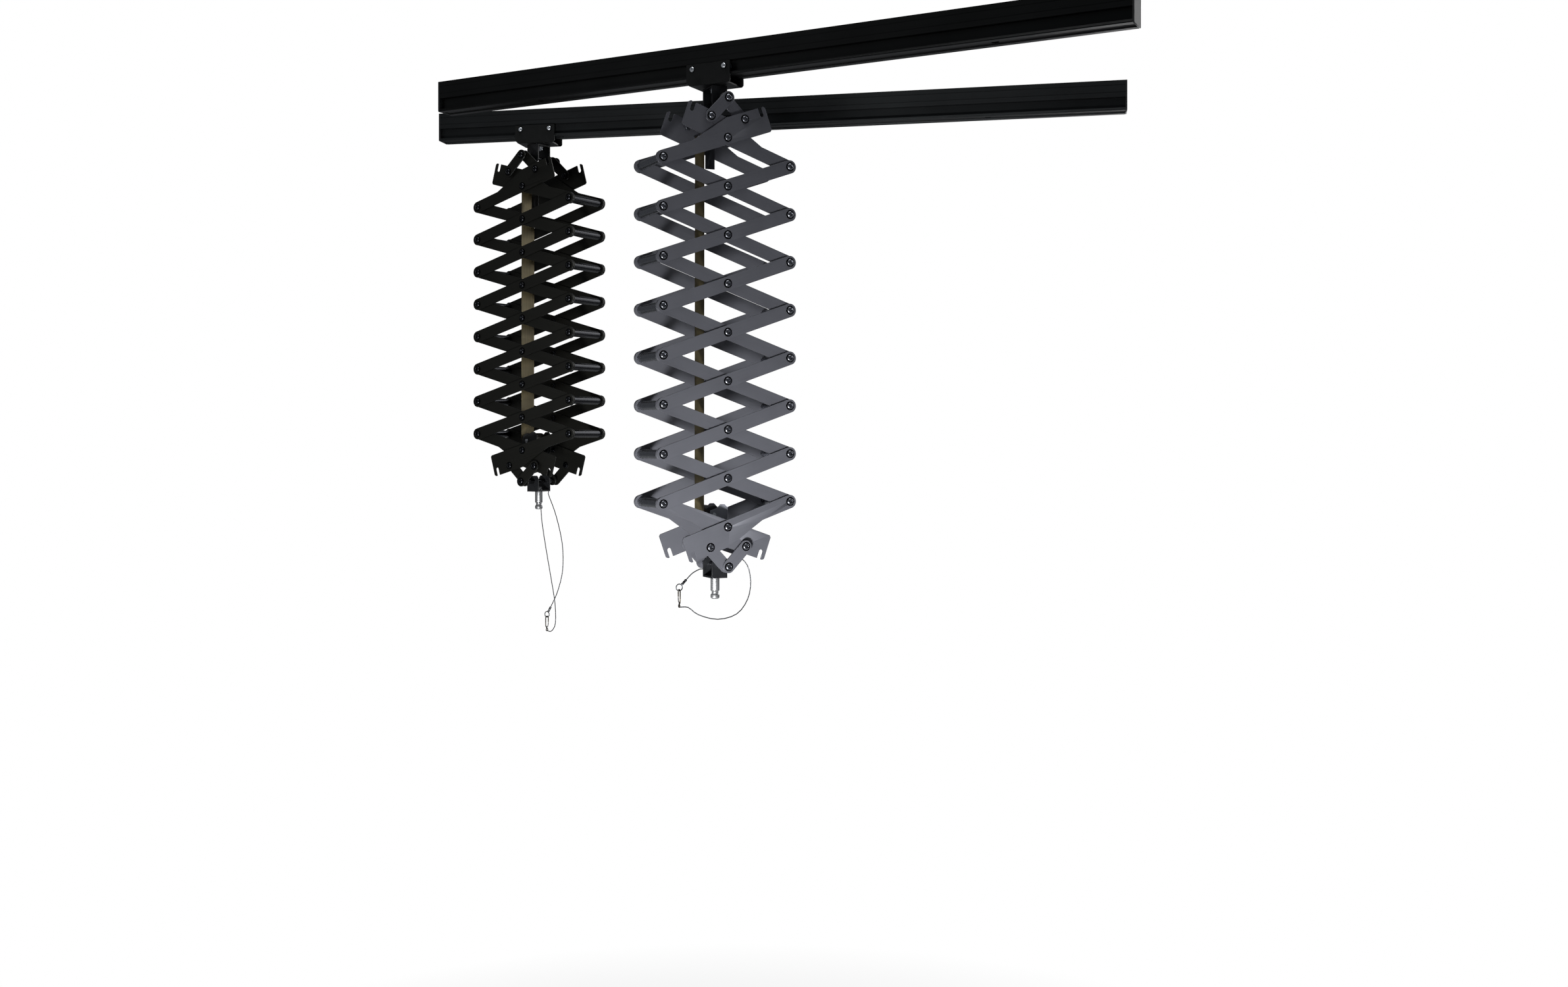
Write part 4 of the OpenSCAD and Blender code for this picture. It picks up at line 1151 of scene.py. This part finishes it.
class SpringsOperator(bpy.types.Operator):
    """Makes the spring balancers: the band, its anchor and the drum that it winds on"""
    bl_idname = "ceiling_rail.springs"
    bl_label = "Spring balancers"

    # Half section of a drum flange in mm, from its face on the band outwards
    FLANGE = [(0, 0.02), (15.6, 0.02), (16, 0.3), (15.6, 0.7), (14, 0.8), (13.4, 0.5), (7, 0.5),
              (6.4, 0.8), (0, 0.8)]
    # Distance from one leaf of the band to the next, so that they slide past each other unmixed
    LEAF_STEP = 0.08 * MM
    # A leaf is meshed in rows of about this height
    LEAF_ROW = 8 * MM
    # Each leaf reaches this many mm further above its crossing than the leaf before, and as much
    # less below it, so that two neighbours meet up to eight times this distance apart
    LEAF_LIFT_MM = 26
    # The band's section: share of its half width, and mm that it is bowed outwards
    LEAF_SECTION = ((-1, 0), (-0.5, -0.25), (0, -0.34), (0.5, -0.25), (1, 0))
    BLEND_REACH = 200
    # Thin black web in mm in the tab's slot: painted shade, where the slot looks dark and not open
    # in the photograph
    SLOT_WEB, SLOT_WEB_SIZE = (-10, 0, -37), (4.6, 0.5, 10.6)
    # The anchor screw: its place, and its head, head height, socket, washer and stem
    SCREW_AT = (-BAND_X - 1.6 * MM, 0, 7 * MM)
    SCREW = (6.5 * MM, 1.6 * MM, 2.4 * MM, 8.5 * MM, 3 * MM)

    def execute(self, context):
        for side in SIDES:
            for i in range(1, PAIRS + 1):
                self.leaf(side, i)
            self.anchor(side)
            self.drum(side)
        return {"FINISHED"}

    def follow(self, piece, side, i):
        """Hides the spring's CAD node and bakes the piece's place into its mesh."""
        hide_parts(f"{side}_spring")
        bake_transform(piece)

    def leaf(self, side, i):
        """The stretch of the band that goes with one crossing."""
        z = cross_z(side, i)
        high = z + (i - 1) * self.LEAF_LIFT_MM * MM + (BAND_TOP if i == 1 else 0)
        low = z - (PAIRS - 1 - i) * self.LEAF_LIFT_MM * MM if i < PAIRS else z + DRUM_Z
        rows = max(3, round((high - low) / self.LEAF_ROW))
        x0 = -BAND_X - self.LEAF_STEP * i
        bm = bmesh.new()
        grid = [[bm.verts.new((x0 + x * MM, y * BAND_W / 2, low + (high - low) * k / rows))
                 for y, x in self.LEAF_SECTION] for k in range(rows + 1)]
        for a, b in zip(grid, grid[1:]):
            for k in range(len(a) - 1):
                bm.faces.new((a[k], a[k + 1], b[k + 1], b[k]))
        bmesh.ops.solidify(bm, geom=bm.faces[:], thickness=0.85 * self.LEAF_STEP)
        bmesh.ops.recalc_face_normals(bm, faces=bm.faces)
        mesh = ended(bm, "leaf", ["band"])
        mesh.transform(place_of(side))
        self.follow(put(f"{side}_spring_band_{i}", mesh, place_of(side)), side, i)

    def anchor(self, side):
        place = place_of(side, cross_z(side, 1))

        def sort(low, high, core):
            # Only the anchor lies wholly near the first crossing
            return 0 if low.z > -60 * MM and high.z < 60 * MM else None
        mesh = cad_copy(f"{side}_spring", place, sort, [f"{side}_tab"], bevel=THIN_EDGE)
        # A black web in the slot: painted shade
        bm = bmesh.new()
        bmesh.ops.create_cube(bm, size=1, matrix=place @ Matrix.LocRotScale(
            Vector(self.SLOT_WEB) * MM, None, Vector(self.SLOT_WEB_SIZE) * MM))
        web = ended(bm, "slot_web", ["drum"])
        aim = place.to_3x3() @ Vector((-1, 0, 0))
        screw = bolts_at([(place @ Vector(self.SCREW_AT), aim)], "zinc", *self.SCREW)
        self.follow(put(f"{side}_spring_anchor", joined([mesh, web, screw]), place), side, 1)

    def drum(self, side):
        place = place_of(side, cross_z(side, PAIRS))

        def sort(low, high, core):
            # The band and the anchor reach high, the cheeks are thin, the axle is narrow, and the
            # roll is made anew
            if high.z > 80 * MM:
                return None
            if high.y - low.y < 4 * MM:
                return 0
            return 1 if high.x - low.x < 12 * MM else None
        cheeks = cad_copy(f"{side}_spring", place, sort, [f"{side}_cheek", "zinc"], bevel=THIN_EDGE)
        wound = grown(wound_band_tree, bpy.data.meshes.new("wound"), "wound", outer_radius=DRUM_R,
                      strip_width=BAND_W)
        core = place @ Matrix.Translation((-DRUM_X, 0, DRUM_Z))
        wound.transform(core)
        profile = [(r * MM, h * MM) for r, h in self.FLANGE]
        flanges = [turned(profile, core @ Matrix.Translation((0, s * BAND_W / 2, 0))
                          @ Matrix.Rotation(-s * math.pi / 2, 4, "X"), "drum", 48) for s in (-1, 1)]
        parts = [cheeks, wound, *flanges]
        self.follow(put(f"{side}_spring_drum", joined(parts), place), side, PAIRS)


class RailPanel(bpy.types.Panel):
    """Lists the pieces and their settings in the sidebar"""
    bl_idname = "VIEW3D_PT_ceiling_rail"
    bl_label = "Ceiling rail"
    bl_space_type = "VIEW_3D"
    bl_region_type = "UI"
    bl_category = "Ceiling rail"

    def draw(self, context):
        for operator in OPERATORS:
            self.layout.operator(operator.bl_idname)
        for group in (context.scene.rail_sizes, context.scene.rail_finishes):
            box = self.layout.box()
            for key in group.__annotations__:
                box.prop(group, key)


OPERATORS = (StageOperator, CablesOperator, RailsOperator, CarriagesOperator, BracketsOperator,
             ArmsOperator, SpringsOperator)
CLASSES = (RailSizes, RailFinishes, *OPERATORS, RailPanel)


def register():
    for item in CLASSES:
        bpy.utils.register_class(item)
    bpy.types.Scene.rail_sizes = bpy.props.PointerProperty(type=RailSizes)
    bpy.types.Scene.rail_finishes = bpy.props.PointerProperty(type=RailFinishes)


def unregister():
    del bpy.types.Scene.rail_finishes
    del bpy.types.Scene.rail_sizes
    for item in reversed(CLASSES):
        bpy.utils.unregister_class(item)


def main():
    register()
    bpy.ops.ceiling_rail.stage()
    bpy.ops.ceiling_rail.cables()
    bpy.ops.ceiling_rail.rails()
    bpy.ops.ceiling_rail.carriages()
    bpy.ops.ceiling_rail.brackets()
    bpy.ops.ceiling_rail.arms()
    bpy.ops.ceiling_rail.springs()


if __name__ == "__main__":
    main()
